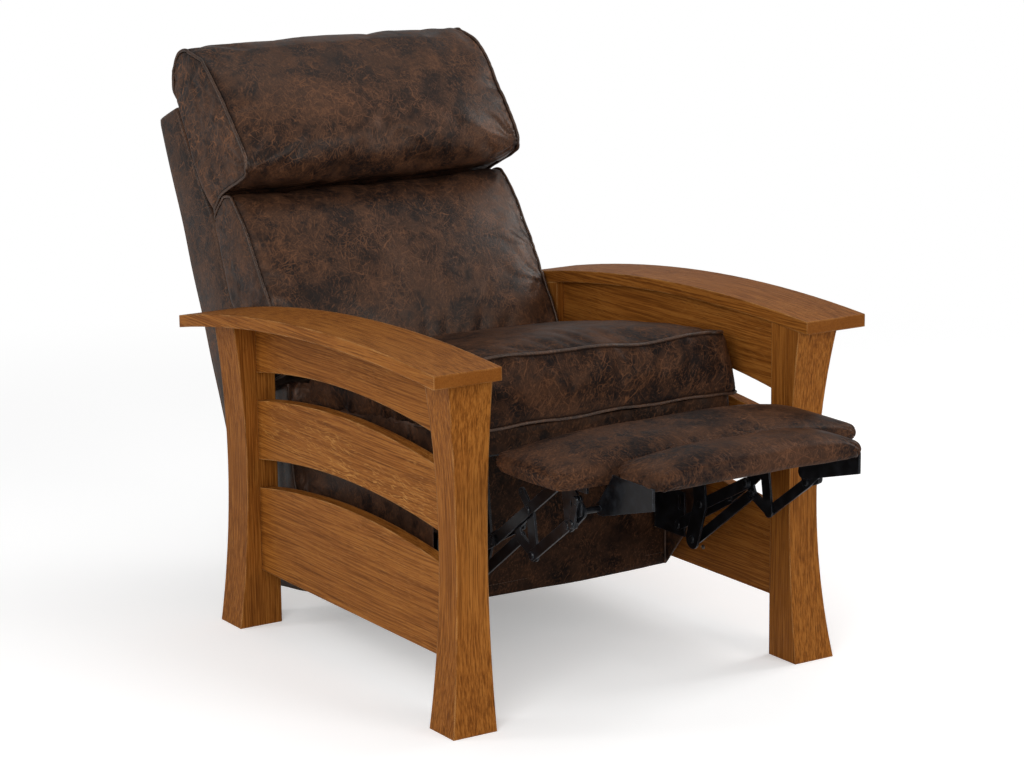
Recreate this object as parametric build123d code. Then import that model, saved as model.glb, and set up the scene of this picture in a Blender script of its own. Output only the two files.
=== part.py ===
"""Mission reclining armchair: bowed oak side frames round a leather push-back recliner.

Millimetres. While it is modelled, X is across the chair with its middle at 0, Y runs to the
rear from the front legs' front faces, and Z runs up from the floor. At the end every piece
moves by the same step, so that the origin is below the middle of the whole chair.
"""

from build123d import *
import math
import os

# Oak side frames
FRAME_WIDTH = 770
LEG_GAP = 653
LEG_DEPTH = 74
FRONT_LEG_WIDTH = 82
REAR_LEG_WIDTH = 84
LEG_SIDE_HOLLOW = 23
LEG_FRONT_HOLLOW = 21
ARM_FRONT_HEIGHT = 602
ARM_REAR_HEIGHT = 559
ARM_RISE = 30
ARM_THICKNESS = 22
ARM_WIDTH = 124
ARM_SIDE_OVERHANG = 40
ARM_FRONT_OVERHANG = 24
ARM_REAR_OVERHANG = 48
ARM_EASE = 1.5

SLAT_THICKNESS = 22
SLAT_SET_IN = 47
SLAT_RISE = 28
TOP_SLAT_BOTTOM = 465
MIDDLE_SLAT_BOTTOM = 307
MIDDLE_SLAT_HEIGHT = 107
RAIL_BOTTOM = 103
RAIL_HEIGHT = 152
TENON_LENGTH = 14
TENON_THICKNESS = 10
TENON_HEIGHT_SHARE = 0.55

# Upholstered box under the seat
BOX_FRAME_GAP = 43.5
BOX_BOARD = 20
BOX_FRONT = 165
BOX_LEGS_FRONT = 335
BOX_REAR = 770
BOX_FRONT_BOTTOM = 108
BOX_REAR_BOTTOM = 50
BOX_ARM_BOTTOM = 412
DECK_FRONT_HEIGHT = 452
DECK_REAR_HEIGHT = 396
DECK_THICKNESS = 3
SIDE_COVER = 2.5
FRONT_RAIL_DEPTH = 25
CROSS_RAIL_DEPTH = 22
CROSS_RAIL_HEIGHT = 34
REAR_RAIL_HEIGHT = 22
BACK_BOARD_DEPTH = 18
BACK_BOARD_HEIGHT = 150
BORDER_DEPTH = 15
BORDER_ROUND = 6
STRAP_WIDTH = 50
STRAP_THICKNESS = 2
STRAP_COUNT = 6
SPACER_HEIGHT = 70
SPACER_LENGTH = 60
SPACER_BOTTOM = 145
SPACER_SHARES = (0.22, 0.8)
SKIRT_THICKNESS = 3
SKIRT_SLIT_CLEARANCE = 2
BOLT_RADIUS = 4
BOLT_HEAD_RADIUS = 7
BOLT_HEAD_HEIGHT = 4
RAIL_SCREW_RADIUS = 4
RAIL_SCREW_HEAD = 1.5
RAIL_SCREW_LENGTH = 15
RAIL_SCREW_RISE = 39
RAIL_SCREW_SHARES = (0.32, 0.68)

# Seat cushion
SEAT_LEG_CLEARANCE = 17
SEAT_FRONT = 148
SEAT_PILLOW_CLEARANCE = 38
SEAT_FRONT_THICKNESS = 110
SEAT_REAR_THICKNESS = 72
SEAT_LEAN = 16
SEAT_FRONT_SWELL = 11
SEAT_CROWN = 24
SEAT_END_INSET = 7
SEAT_STATION_SHARES = (-1, -0.86, 0, 0.86, 1)
SEAT_CROWN_SHARES = (0.15, 0.62, 1, 0.62, 0.15)

# Steel plates of the mechanism, counted in layers inwards from the box boards
PLATE = 4
LAYER_GAP = 0.5
INNER_PLATE_SPACE = 3
PIN_RADIUS = 4
PIN_PLAY = 0.1
OPEN_PLAY = 2.6
TUCK_OPEN_PLAY = 1.2
HEAD_RADIUS = 7
HEAD_HEIGHT = 2
HEAD_GAP = 0.3
HEAD_TAPER = 35

# Footrest linkage, footrest out: fixed pins, link lengths and link directions
REAR_PIN_Y = 259
REAR_PIN_Z = 200
GUIDE_PIN_Y = 159
GUIDE_PIN_Z = 263
DRIVE_PIN_Y = 182
DRIVE_PIN_Z = 195
REAR_LINK_LENGTH = 179.4
REAR_LINK_ANGLE = 151.7
LONG_LINK_LENGTH = 247.3
LONG_LINK_CROSSING_LENGTH = 123.5
LONG_LINK_ANGLE = 144.5
CRANK_LENGTH = 72.8
CRANK_ANGLE = 261.3
CRANK_GUIDE_LENGTH = 51.9
CRANK_GUIDE_ANGLE = -39.5
CRANK_DRIVE_LENGTH = 61.1
CRANK_DRIVE_ANGLE = -58.4
CRANK_EAR_LENGTH = 34
CRANK_EAR_ANGLE = 46
FRONT_LINK_TAIL_LENGTH = 20.6
FRONT_LINK_TAIL_ANGLE = 160.5
TUCK_PIVOT_LENGTH = 44.7
TUCK_PIVOT_ANGLE = 139.5
TUCK_LEVER_LENGTH = 19.3
TUCK_LEVER_ANGLE = 85.8
WIDE_LINK = 10
LONG_LINK_HALF = 9
SLIM_LINK = 8
SMALL_LINK = 7
CRANK_HALF = 11
TUCK_SHAFT_RADIUS = 5
TUCK_ARM_CLEARANCE = 14
TUCK_ARM_RISE = 26
TUCK_ARM_LENGTH = 143
TUCK_FLANGE_WIDTH = 24
FLANGE_THICKNESS = 3
BRACKET_FLANGE_WIDTH = 27
BRACKET_FLANGE_FRONT = 50
BRACKET_FLANGE_REAR = 55
SIDE_PLATE_LENGTH = 170
SIDE_PLATE_HEIGHT = 80
SIDE_PLATE_NOSE = 14
SLOT_HEIGHT = 26
SLOT_WIDTH = 8
HANGER_WIDTH = 34
CROSS_TUBE_RADIUS = 11
CROSS_TUBE_WALL = 2
CROSS_TUBE_SET_BACK = 50

# Footrest pads
PAD_LEG_CLEARANCE = 17
PAD_FRONT = 74
PAD_REAR = 120
PAD_DROP = 11
PAD_THICKNESS = 56
BOARD_THICKNESS = 12
BOARD_INSET = 12
TUCK_PAD_CLEARANCE = 13
TUCK_PAD_GAP = 7
TUCK_PAD_DEPTH = 122
TUCK_PAD_LIFT = 7
TUCK_PAD_THICKNESS = 44
PAD_SIDE_SHARE = 0.42
PAD_BULGE_SHARE = 0.34
PAD_STATION_SHARES = (-1, -0.96, -0.86, -0.6, 0, 0.6, 0.86, 0.96, 1)
PAD_FULL_SHARES = (0.4, 0.66, 0.9, 1, 1, 1, 0.9, 0.66, 0.4)
PAD_END_INSET = 9

# Back, measured along its lean: up from the foot of its rear edge, and forward from that edge
BACK_FOOT_Y = 936
BACK_FOOT_Z = 256
BACK_LEAN = 22.7
BACK_LEG_CLEARANCE = 17
BACK_HEIGHT = 660
BACK_TAIL = 45
BACK_SKIN = 12
BACK_SIDE_SKIN = 4
BACK_TOP_DEPTH = 76
BACK_SHOULDER_HEIGHT = 434
BACK_SHOULDER_DEPTH = 126
BACK_SHOULDER_HOLLOW = 6
STILE_DEPTH = 52
BACK_RAIL_HEIGHT = 60
BACK_STRAP_COUNT = 5
HINGE_PIN_Y = 720
HINGE_PIN_Z = 300
HINGE_PIN_RADIUS = 6
HINGE_PLATE_HALF = 18
HINGE_PLATE_UP = 110

LUMBAR_SIDE_INSET = 3
LUMBAR_BOTTOM = 96
LUMBAR_TOP = 449
LUMBAR_TOP_DEPTH = 215
LUMBAR_WELT_TOP_DEPTH = 238
LUMBAR_WELT_DEPTH = 288
LUMBAR_FOOT_DEPTH = 306
LUMBAR_CROWN = 24
LUMBAR_BELLY_SHARE = 0.52

HEAD_SIDE_INSET = 1
HEAD_LUMBAR_GAP = 6
HEAD_PILLOW_HEIGHT = 293
HEAD_BOTTOM_DEPTH = 228
HEAD_NOSE_DEPTH = 313
HEAD_FRONT_DEPTH = 270
HEAD_TOP_FRONT_DEPTH = 212
HEAD_TOP_DEPTH = 160
HEAD_REAR_DEPTH = 97
HEAD_CROWN = 15
HEAD_NOSE_SHARE = 0.08
HEAD_FRONT_SHARE = 0.56
HEAD_TOP_FRONT_SHARE = 0.89
HEAD_REAR_SHARE = 0.91
CUSHION_STATION_SHARES = (-1, -0.85, -0.45, 0, 0.45, 0.85, 1)
CUSHION_CROWN_SHARES = (0, 0.5, 0.92, 1, 0.92, 0.5, 0)

# Worked out from the sizes above
HALF_FRAME = FRAME_WIDTH / 2
REAR_LEG_FRONT = LEG_DEPTH + LEG_GAP
REAR_LEG_REAR = REAR_LEG_FRONT + LEG_DEPTH
ARM_REAR = REAR_LEG_REAR + ARM_REAR_OVERHANG
SLAT_OUTER = HALF_FRAME - SLAT_SET_IN
SLAT_INNER = SLAT_OUTER - SLAT_THICKNESS
COVER_OUTER = SLAT_INNER - BOX_FRAME_GAP
BOX_HALF_WIDTH = COVER_OUTER - SIDE_COVER
BOX_INNER = BOX_HALF_WIDTH - BOX_BOARD
LEG_INNER = HALF_FRAME - REAR_LEG_WIDTH
SEAT_HALF_WIDTH = LEG_INNER - SEAT_LEG_CLEARANCE
BACK_HALF_WIDTH = LEG_INNER - BACK_LEG_CLEARANCE
LUMBAR_HALF_WIDTH = BACK_HALF_WIDTH - LUMBAR_SIDE_INSET
HEAD_HALF_WIDTH = BACK_HALF_WIDTH - HEAD_SIDE_INSET
PAD_HALF_WIDTH = HALF_FRAME - FRONT_LEG_WIDTH - PAD_LEG_CLEARANCE
INNER_PLATE_LAYER = 6
PLATE_PITCH = PLATE + LAYER_GAP
INNER_PLATE_FACE = BOX_INNER - INNER_PLATE_LAYER * PLATE_PITCH - INNER_PLATE_SPACE
TUCK_ARM_FACE = INNER_PLATE_FACE - PLATE - TUCK_ARM_CLEARANCE
TUCK_PAD_HALF_WIDTH = INNER_PLATE_FACE - PLATE - TUCK_PAD_CLEARANCE
HEAD_BOTTOM = LUMBAR_TOP + HEAD_LUMBAR_GAP
DECK_SLOPE = (DECK_FRONT_HEIGHT - DECK_REAR_HEIGHT) / (BOX_REAR - BOX_FRONT)
ALONG_X = (1, 0, 0)


def polar(start, length, angle):
    """The point at a length and direction from another, as (Y, Z)."""
    turn = math.radians(angle)
    return (start[0] + length * math.cos(turn), start[1] + length * math.sin(turn))


REAR_PIN = (REAR_PIN_Y, REAR_PIN_Z)
GUIDE_PIN = (GUIDE_PIN_Y, GUIDE_PIN_Z)
DRIVE_PIN = (DRIVE_PIN_Y, DRIVE_PIN_Z)
KNEE = polar(REAR_PIN, REAR_LINK_LENGTH, REAR_LINK_ANGLE)
CROSSING = polar(KNEE, LONG_LINK_CROSSING_LENGTH, LONG_LINK_ANGLE)
PAD_PIN = polar(KNEE, LONG_LINK_LENGTH, LONG_LINK_ANGLE)
CRANK_PIN = polar(CROSSING, CRANK_LENGTH, CRANK_ANGLE)
FRONT_PIN = polar(PAD_PIN, CRANK_LENGTH, CRANK_ANGLE)
GUIDE_END = polar(CROSSING, CRANK_GUIDE_LENGTH, CRANK_GUIDE_ANGLE)
DRIVE_END = polar(CROSSING, CRANK_DRIVE_LENGTH, CRANK_DRIVE_ANGLE)
EAR_END = polar(CROSSING, CRANK_EAR_LENGTH, CRANK_EAR_ANGLE)
TAIL_PIN = polar(FRONT_PIN, FRONT_LINK_TAIL_LENGTH, FRONT_LINK_TAIL_ANGLE)
TUCK_PIVOT = polar(FRONT_PIN, TUCK_PIVOT_LENGTH, TUCK_PIVOT_ANGLE)
LEVER_PIN = polar(TUCK_PIVOT, TUCK_LEVER_LENGTH, TUCK_LEVER_ANGLE)
BACK_PIN = (HINGE_PIN_Y, HINGE_PIN_Z)
PAD_UNDER = PAD_PIN[1] + PAD_DROP


def deck(y):
    """Height of the sloping deck's top."""
    return DECK_FRONT_HEIGHT - DECK_SLOPE * (y - BOX_FRONT)


def lean(up, forward):
    """A place on the back, as (Y, Z)."""
    turn = math.radians(BACK_LEAN)
    y = BACK_FOOT_Y + up * math.sin(turn) - forward * math.cos(turn)
    z = BACK_FOOT_Z + up * math.cos(turn) + forward * math.sin(turn)
    return (y, z)


def closed_face(points):
    """A flat outline with straight sides."""
    return make_face(Polyline(*points, close=True))


def across(face, x_low, x_high):
    """A side outline in (Y, Z) made solid between two X values."""
    return extrude(Plane.YZ.offset(x_low) * face, x_high - x_low, dir=ALONG_X)


def block(x_low, x_high, y_low, y_high, z_low, z_high):
    """A squared timber between two corners."""
    size = (x_high - x_low, y_high - y_low, z_high - z_low)
    middle = ((x_low + x_high) / 2, (y_low + y_high) / 2, (z_low + z_high) / 2)
    return Pos(*middle) * Box(*size)


def arc(start, end, rise):
    """An arc between two points, its middle raised."""
    middle = ((start[0] + end[0]) / 2, (start[1] + end[1]) / 2 + rise)
    return ThreePointArc(start, middle, end)


def right_of(left):
    """The matching piece on the chair's other side."""
    return mirror(left, about=Plane.YZ)


def arm_line(drop):
    """The arm's bowed line from front to rear, at a drop below its top."""
    front = (-ARM_FRONT_OVERHANG, ARM_FRONT_HEIGHT - drop)
    rear = (ARM_REAR, ARM_REAR_HEIGHT - drop)
    return front, rear, arc(front, rear, ARM_RISE)


def arm_board():
    """Left arm: one bowed board with upright ends."""
    top_front, top_rear, top = arm_line(0)
    low_front, low_rear, low = arm_line(ARM_THICKNESS)
    face = make_face([top, Line(top_rear, low_rear), low, Line(low_front, top_front)])
    outer = HALF_FRAME + ARM_SIDE_OVERHANG
    board = across(face, -outer, -outer + ARM_WIDTH)
    return fillet(board.edges().filter_by(Axis.X), ARM_EASE)


def below_arm():
    """Everything under the arm board, from the floor up."""
    front, rear, line = arm_line(ARM_THICKNESS)
    floor_front = (front[0], 0)
    floor_rear = (rear[0], 0)
    edges = [line, Line(rear, floor_rear), Line(floor_rear, floor_front), Line(floor_front, front)]
    return across(make_face(edges), -FRAME_WIDTH, 0)


def leg(front, width, front_hollow):
    """A left leg: flared at foot and top, hollow on its outer face and perhaps its front."""
    top = ARM_FRONT_HEIGHT - ARM_THICKNESS
    head = ARM_RISE + ARM_THICKNESS
    outer = -HALF_FRAME
    inner = outer + width
    rear = front + LEG_DEPTH
    bow = ThreePointArc((outer, 0), (outer + LEG_SIDE_HOLLOW, top / 2), (outer, top))
    side = [bow, Polyline((outer, top), (outer, top + head), (inner, top + head), (inner, 0), (outer, 0))]
    body = extrude(Plane.XZ.offset(-front) * make_face(side), LEG_DEPTH, dir=(0, 1, 0))
    if front_hollow:
        face_arc = ThreePointArc((front, 0), (front + front_hollow, top / 2), (front, top))
        rest = Polyline((front, top), (front, top + head), (rear, top + head), (rear, 0), (front, 0))
        body = body & across(make_face([face_arc, rest]), outer, inner)
    return body & below_arm()


def slat_tenons(bottom, top):
    """The two stub tenons of a slat, which the legs are cut for."""
    height = (top - bottom) * TENON_HEIGHT_SHARE
    low = (top + bottom - height) / 2
    middle = -(SLAT_OUTER + SLAT_INNER) / 2
    x_low = middle - TENON_THICKNESS / 2
    x_high = middle + TENON_THICKNESS / 2
    front = block(x_low, x_high, LEG_DEPTH - TENON_LENGTH, LEG_DEPTH, low, low + height)
    rear_end = REAR_LEG_FRONT + TENON_LENGTH
    rear = block(x_low, x_high, REAR_LEG_FRONT, rear_end, low, low + height)
    return front, rear


def slat(bottom, top, bottom_rise, top_rise):
    """A left slat between the legs, arched where a rise is given, with its tenons."""
    low_front = (LEG_DEPTH, bottom)
    low_rear = (REAR_LEG_FRONT, bottom)
    high_front = (LEG_DEPTH, top)
    high_rear = (REAR_LEG_FRONT, top)
    low = arc(low_front, low_rear, bottom_rise) if bottom_rise else Line(low_front, low_rear)
    high = arc(high_front, high_rear, top_rise) if top_rise else Line(high_front, high_rear)
    face = make_face([low, Line(low_rear, high_rear), high, Line(high_front, low_front)])
    return across(face, -SLAT_OUTER, -SLAT_INNER)


def arm_underside(y):
    """Height of the arm's straight chord less its thickness, for the top slat's tenons."""
    share = (y + ARM_FRONT_OVERHANG) / (ARM_REAR + ARM_FRONT_OVERHANG)
    drop = (ARM_FRONT_HEIGHT - ARM_REAR_HEIGHT) * share
    return ARM_FRONT_HEIGHT - drop - ARM_THICKNESS


def side_frame():
    """Everything of the left oak side frame."""
    top_slat_top = arm_underside(REAR_LEG_FRONT)
    rail_top = RAIL_BOTTOM + RAIL_HEIGHT
    middle_top = MIDDLE_SLAT_BOTTOM + MIDDLE_SLAT_HEIGHT
    top_cut = slat_tenons(TOP_SLAT_BOTTOM, top_slat_top)
    middle_cut = slat_tenons(MIDDLE_SLAT_BOTTOM, middle_top)
    rail_cut = slat_tenons(RAIL_BOTTOM, rail_top)
    above = ARM_FRONT_HEIGHT + ARM_RISE
    top_board = slat(TOP_SLAT_BOTTOM, above, SLAT_RISE, 0) & below_arm()
    middle_board = slat(MIDDLE_SLAT_BOTTOM, middle_top, SLAT_RISE, SLAT_RISE)
    rail_board = slat(RAIL_BOTTOM, rail_top, 0, SLAT_RISE)
    front_leg = leg(0, FRONT_LEG_WIDTH, LEG_FRONT_HOLLOW)
    rear_leg = leg(REAR_LEG_FRONT, REAR_LEG_WIDTH, 0)
    for cut in (top_cut, middle_cut, rail_cut):
        front_leg = front_leg - cut[0]
        rear_leg = rear_leg - cut[1]
    return {
        "arm_board": arm_board(),
        "front_leg": front_leg,
        "rear_leg": rear_leg,
        "top_slat": top_board + top_cut[0] + top_cut[1],
        "middle_slat": middle_board + middle_cut[0] + middle_cut[1],
        "bottom_rail": rail_board + rail_cut[0] + rail_cut[1],
    }


def side_board_face():
    """Side outline of the box: tall behind, a slim arm in front."""
    under = DECK_THICKNESS
    points = [
        (BOX_FRONT, BOX_ARM_BOTTOM),
        (BOX_LEGS_FRONT, BOX_ARM_BOTTOM),
        (BOX_LEGS_FRONT, BOX_FRONT_BOTTOM),
        (BOX_REAR, BOX_REAR_BOTTOM),
        (BOX_REAR, deck(BOX_REAR) - under),
        (BOX_FRONT, deck(BOX_FRONT) - under),
    ]
    return closed_face(points)


def rail_screws():
    """Screws in the rails' inner faces, low heads standing proud."""
    solids = []
    for share in RAIL_SCREW_SHARES:
        y = LEG_DEPTH + LEG_GAP * share
        at = Pos(y, RAIL_BOTTOM + RAIL_SCREW_RISE)
        shank = extrude(
            Plane.YZ.offset(SLAT_INNER) * at * Circle(RAIL_SCREW_RADIUS / 2),
            RAIL_SCREW_LENGTH,
            dir=ALONG_X,
        )
        head = extrude(
            Plane.YZ.offset(SLAT_INNER - RAIL_SCREW_HEAD) * at * Circle(RAIL_SCREW_RADIUS),
            RAIL_SCREW_HEAD,
            dir=ALONG_X,
        )
        screw = shank + head
        solids += [screw, right_of(screw)]
    return solids


def rail_screw_hole(rail):
    """The left rail with its screws' holes."""
    for share in RAIL_SCREW_SHARES:
        y = LEG_DEPTH + LEG_GAP * share
        hole = Plane.YZ.offset(-SLAT_INNER - RAIL_SCREW_LENGTH) * Pos(y, RAIL_BOTTOM + RAIL_SCREW_RISE)
        rail = rail - extrude(hole * Circle(RAIL_SCREW_RADIUS / 2), RAIL_SCREW_LENGTH, dir=ALONG_X)
    return rail


def spacer_centres():
    """Middles of the spacer blocks, as (Y, Z)."""
    run = BOX_REAR - BOX_LEGS_FRONT
    height = SPACER_BOTTOM + SPACER_HEIGHT / 2
    return [(BOX_LEGS_FRONT + run * share, height) for share in SPACER_SHARES]


def bolt_bore(centre):
    """The bore of a frame bolt on the left, from inside the box to inside the rail."""
    depth = (SLAT_INNER + SLAT_THICKNESS / 2) - BOX_INNER
    low = -SLAT_INNER - SLAT_THICKNESS / 2
    return extrude(Plane.YZ.offset(low) * Pos(*centre) * Circle(BOLT_RADIUS), depth, dir=ALONG_X)


def frame_bolts():
    """Bolts that tie the oak rails to the box, heads inside the box."""
    solids = []
    for centre in spacer_centres():
        head = Plane.YZ.offset(-BOX_INNER) * Pos(*centre) * RegularPolygon(BOLT_HEAD_RADIUS, 6)
        bolt = bolt_bore(centre) + extrude(head, BOLT_HEAD_HEIGHT, dir=ALONG_X)
        solids += [bolt, right_of(bolt)]
    return solids


def spacer_blocks():
    """Hardwood blocks that fill the gap between the box and the oak rails."""
    solids = []
    for centre in spacer_centres():
        y_low = centre[0] - SPACER_LENGTH / 2
        z_low = centre[1] - SPACER_HEIGHT / 2
        body = block(-SLAT_INNER, -COVER_OUTER, y_low, y_low + SPACER_LENGTH, z_low, z_low + SPACER_HEIGHT)
        body = body - bolt_bore(centre)
        solids += [body, right_of(body)]
    return solids


def bored(piece):
    """A left piece with the frame bolts' bores."""
    for centre in spacer_centres():
        piece = piece - bolt_bore(centre)
    return piece


def seat_straps():
    """Elastic straps across the box, under the deck."""
    solids = []
    run = BOX_REAR - BACK_BOARD_DEPTH - BOX_FRONT - FRONT_RAIL_DEPTH
    pitch = run / STRAP_COUNT
    top = DECK_THICKNESS
    bottom = DECK_THICKNESS + STRAP_THICKNESS
    for index in range(STRAP_COUNT):
        front = BOX_FRONT + FRONT_RAIL_DEPTH + pitch * (index + 1 / 2) - STRAP_WIDTH / 2
        rear = front + STRAP_WIDTH
        points = [
            (front, deck(front) - bottom),
            (rear, deck(rear) - bottom),
            (rear, deck(rear) - top),
            (front, deck(front) - top),
        ]
        solids.append(across(closed_face(points), -BOX_INNER, BOX_INNER))
    return solids


def deck_panel():
    """Thin sloping panel that closes the box's top."""
    points = [
        (BOX_FRONT, deck(BOX_FRONT)),
        (BOX_REAR, deck(BOX_REAR)),
        (BOX_REAR, deck(BOX_REAR) - DECK_THICKNESS),
        (BOX_FRONT, deck(BOX_FRONT) - DECK_THICKNESS),
    ]
    return across(closed_face(points), -COVER_OUTER, COVER_OUTER)


def rail_across(y_low, depth, height):
    """A timber across the box, its top under the deck."""
    top = DECK_THICKNESS + STRAP_THICKNESS + LAYER_GAP
    points = [
        (y_low, deck(y_low) - top),
        (y_low + depth, deck(y_low + depth) - top),
        (y_low + depth, deck(y_low) - top - height),
        (y_low, deck(y_low) - top - height),
    ]
    return across(closed_face(points), -BOX_INNER, BOX_INNER)


def front_border():
    """Leather roll over the front rail, below the seat cushion."""
    rear = BOX_FRONT
    front = rear - BORDER_DEPTH
    body = block(-COVER_OUTER, COVER_OUTER, front, rear, BOX_ARM_BOTTOM, deck(BOX_FRONT))
    front_edges = body.edges().filter_by(Axis.X).group_by(Axis.Y)[0]
    return fillet(front_edges, BORDER_ROUND)


def skirt_panel():
    """Leather panel stretched over the box's front, with slits for the outer steel plates."""
    half = BOX_HALF_WIDTH
    front = BOX_LEGS_FRONT - SKIRT_THICKNESS
    panel = block(-half, half, front, BOX_LEGS_FRONT, BOX_FRONT_BOTTOM, BOX_ARM_BOTTOM)
    plate_top = REAR_PIN_Z + SIDE_PLATE_HEIGHT * 3 / 4
    plate_low = REAR_PIN_Z - SIDE_PLATE_HEIGHT / 4
    room = SKIRT_SLIT_CLEARANCE
    for side in (-1, 1):
        slit_low = min(side * (BOX_INNER - PLATE - room), side * (BOX_INNER + room))
        width = PLATE + 2 * room
        slit = block(slit_low, slit_low + width, front, BOX_LEGS_FRONT, plate_low - room, plate_top + room)
        panel = panel - slit
    return panel


def seat_box():
    """The box under the seat and what closes it."""
    side_board = bored(across(side_board_face(), -BOX_HALF_WIDTH, -BOX_INNER)) - back_hinge_bore()
    side_cover = bored(across(side_board_face(), -COVER_OUTER, -BOX_HALF_WIDTH))
    front_rail_height = deck(BOX_FRONT) - DECK_THICKNESS - BOX_ARM_BOTTOM - STRAP_THICKNESS - LAYER_GAP
    front_rail = rail_across(BOX_FRONT, FRONT_RAIL_DEPTH, front_rail_height)
    cross_rail = rail_across(BOX_LEGS_FRONT, CROSS_RAIL_DEPTH, CROSS_RAIL_HEIGHT)
    rear_rail = rail_across(BOX_REAR - BACK_BOARD_DEPTH, BACK_BOARD_DEPTH, REAR_RAIL_HEIGHT)
    board_top = BOX_REAR_BOTTOM + BACK_BOARD_HEIGHT
    back_board = block(
        -BOX_INNER, BOX_INNER, BOX_REAR - BACK_BOARD_DEPTH, BOX_REAR, BOX_REAR_BOTTOM, board_top
    )
    return {
        "side_board_left": side_board,
        "side_board_right": right_of(side_board),
        "side_covers": [side_cover, right_of(side_cover)],
        "front_rail": front_rail,
        "cross_rail": cross_rail,
        "rear_rail": rear_rail,
        "lower_back_board": back_board,
        "spacer_blocks": spacer_blocks(),
        "frame_bolts": frame_bolts(),
        "rail_screws": rail_screws(),
        "seat_webbing": seat_straps(),
        "seat_deck": deck_panel(),
        "front_border": front_border(),
        "skirt_panel": skirt_panel(),
    }


def seat_section(crown_share, inset):
    """Side outline of the seat cushion at one place across it."""
    front = SEAT_FRONT + inset
    pillow_foot = lean(LUMBAR_BOTTOM, LUMBAR_FOOT_DEPTH)
    rear = pillow_foot[0] - SEAT_PILLOW_CLEARANCE - inset
    low_front = (front, deck(front))
    low_rear = (rear, deck(rear))
    top_front = (front + SEAT_LEAN, deck(front) + SEAT_FRONT_THICKNESS)
    top_rear = (rear - SEAT_LEAN, deck(rear) + SEAT_REAR_THICKNESS)
    nose = (front + SEAT_LEAN / 2 - SEAT_FRONT_SWELL, deck(front) + SEAT_FRONT_THICKNESS / 2)
    tail = (rear - SEAT_LEAN / 2 + SEAT_FRONT_SWELL, deck(rear) + SEAT_REAR_THICKNESS / 2)
    top = arc(top_front, top_rear, SEAT_CROWN * crown_share)
    edges = [
        Line(low_rear, low_front),
        ThreePointArc(low_front, nose, top_front),
        top,
        ThreePointArc(top_rear, tail, low_rear),
    ]
    return make_face(edges)


def seat_cushion():
    """Boxed seat cushion: crowned top, swollen front, sides drawn in at the ends."""
    sections = []
    for station, crown in zip(SEAT_STATION_SHARES, SEAT_CROWN_SHARES):
        inset = SEAT_END_INSET if abs(station) == 1 else 0
        plane = Plane.YZ.offset(SEAT_HALF_WIDTH * station)
        sections.append(plane * seat_section(crown, inset))
    return loft(sections)


def layer_face(layer):
    """Outer |X| of a plate layer, counted inwards from the box board."""
    if layer == INNER_PLATE_LAYER:
        return INNER_PLATE_FACE
    return BOX_INNER - layer * PLATE_PITCH


def capsule(start, end, radius):
    """A flat bar with round ends between two pins."""
    run = (end[0] - start[0], end[1] - start[1])
    angle = math.degrees(math.atan2(run[1], run[0]))
    middle = ((start[0] + end[0]) / 2, (start[1] + end[1]) / 2)
    return Pos(*middle) * Rot(0, 0, angle) * SlotCenterToCenter(math.hypot(*run), 2 * radius)


def stamped(flat, layer, holes):
    """A left steel plate of a layer, with its pin holes as (place, radius)."""
    for place, radius in holes:
        flat = flat - Pos(*place) * Circle(radius)
    return extrude(Plane.YZ.offset(-layer_face(layer)) * flat, PLATE, dir=ALONG_X)


def rivet(place, first, last, outer_head, inner_head, radius=PIN_RADIUS):
    """A left rivet from the outer face of one layer to the inner face of another."""
    outer = layer_face(first) + (HEAD_GAP if outer_head else 0)
    inner = layer_face(last) - PLATE - (HEAD_GAP if inner_head else 0)
    shank = Plane.YZ.offset(-outer) * Pos(*place) * Circle(radius)
    body = extrude(shank, outer - inner, dir=ALONG_X)
    if outer_head:
        disc = Plane.YZ.offset(-outer) * Pos(*place) * Circle(HEAD_RADIUS)
        body = body + extrude(disc, HEAD_HEIGHT, dir=(-1, 0, 0), taper=HEAD_TAPER)
    if inner_head:
        disc = Plane.YZ.offset(-inner) * Pos(*place) * Circle(HEAD_RADIUS)
        body = body + extrude(disc, HEAD_HEIGHT, dir=ALONG_X, taper=HEAD_TAPER)
    return body


def side_plate():
    """Outer plate bolted to the box board, with its slotted upright nose."""
    nose = REAR_PIN_Y - SIDE_PLATE_NOSE
    low = REAR_PIN_Z - SIDE_PLATE_HEIGHT / 4
    top = low + SIDE_PLATE_HEIGHT
    flat = Pos(nose + SIDE_PLATE_LENGTH / 2, (low + top) / 2) * Rectangle(SIDE_PLATE_LENGTH, top - low)
    slot_place = (REAR_PIN_Y, REAR_PIN_Z + SIDE_PLATE_HEIGHT / 2)
    slot = Pos(*slot_place) * Rot(0, 0, 90) * SlotCenterToCenter(SLOT_HEIGHT - SLOT_WIDTH, SLOT_WIDTH)
    tube_place = cross_tube_place()
    plate = stamped(flat - slot, 0, [(tube_place, CROSS_TUBE_RADIUS)])
    return plate + rivet(REAR_PIN, 0, 1, False, True)


def cross_tube_place():
    """Middle of the cross tube, as (Y, Z)."""
    return (BOX_LEGS_FRONT + CROSS_TUBE_SET_BACK, REAR_PIN_Z + SIDE_PLATE_HEIGHT / 4)


def cross_tube():
    """Steel tube that ties the two outer plates."""
    place = Plane.YZ.offset(-layer_face(0)) * Pos(*cross_tube_place())
    ring = Circle(CROSS_TUBE_RADIUS) - Circle(CROSS_TUBE_RADIUS - CROSS_TUBE_WALL)
    return extrude(place * ring, 2 * layer_face(0), dir=ALONG_X)


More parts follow.
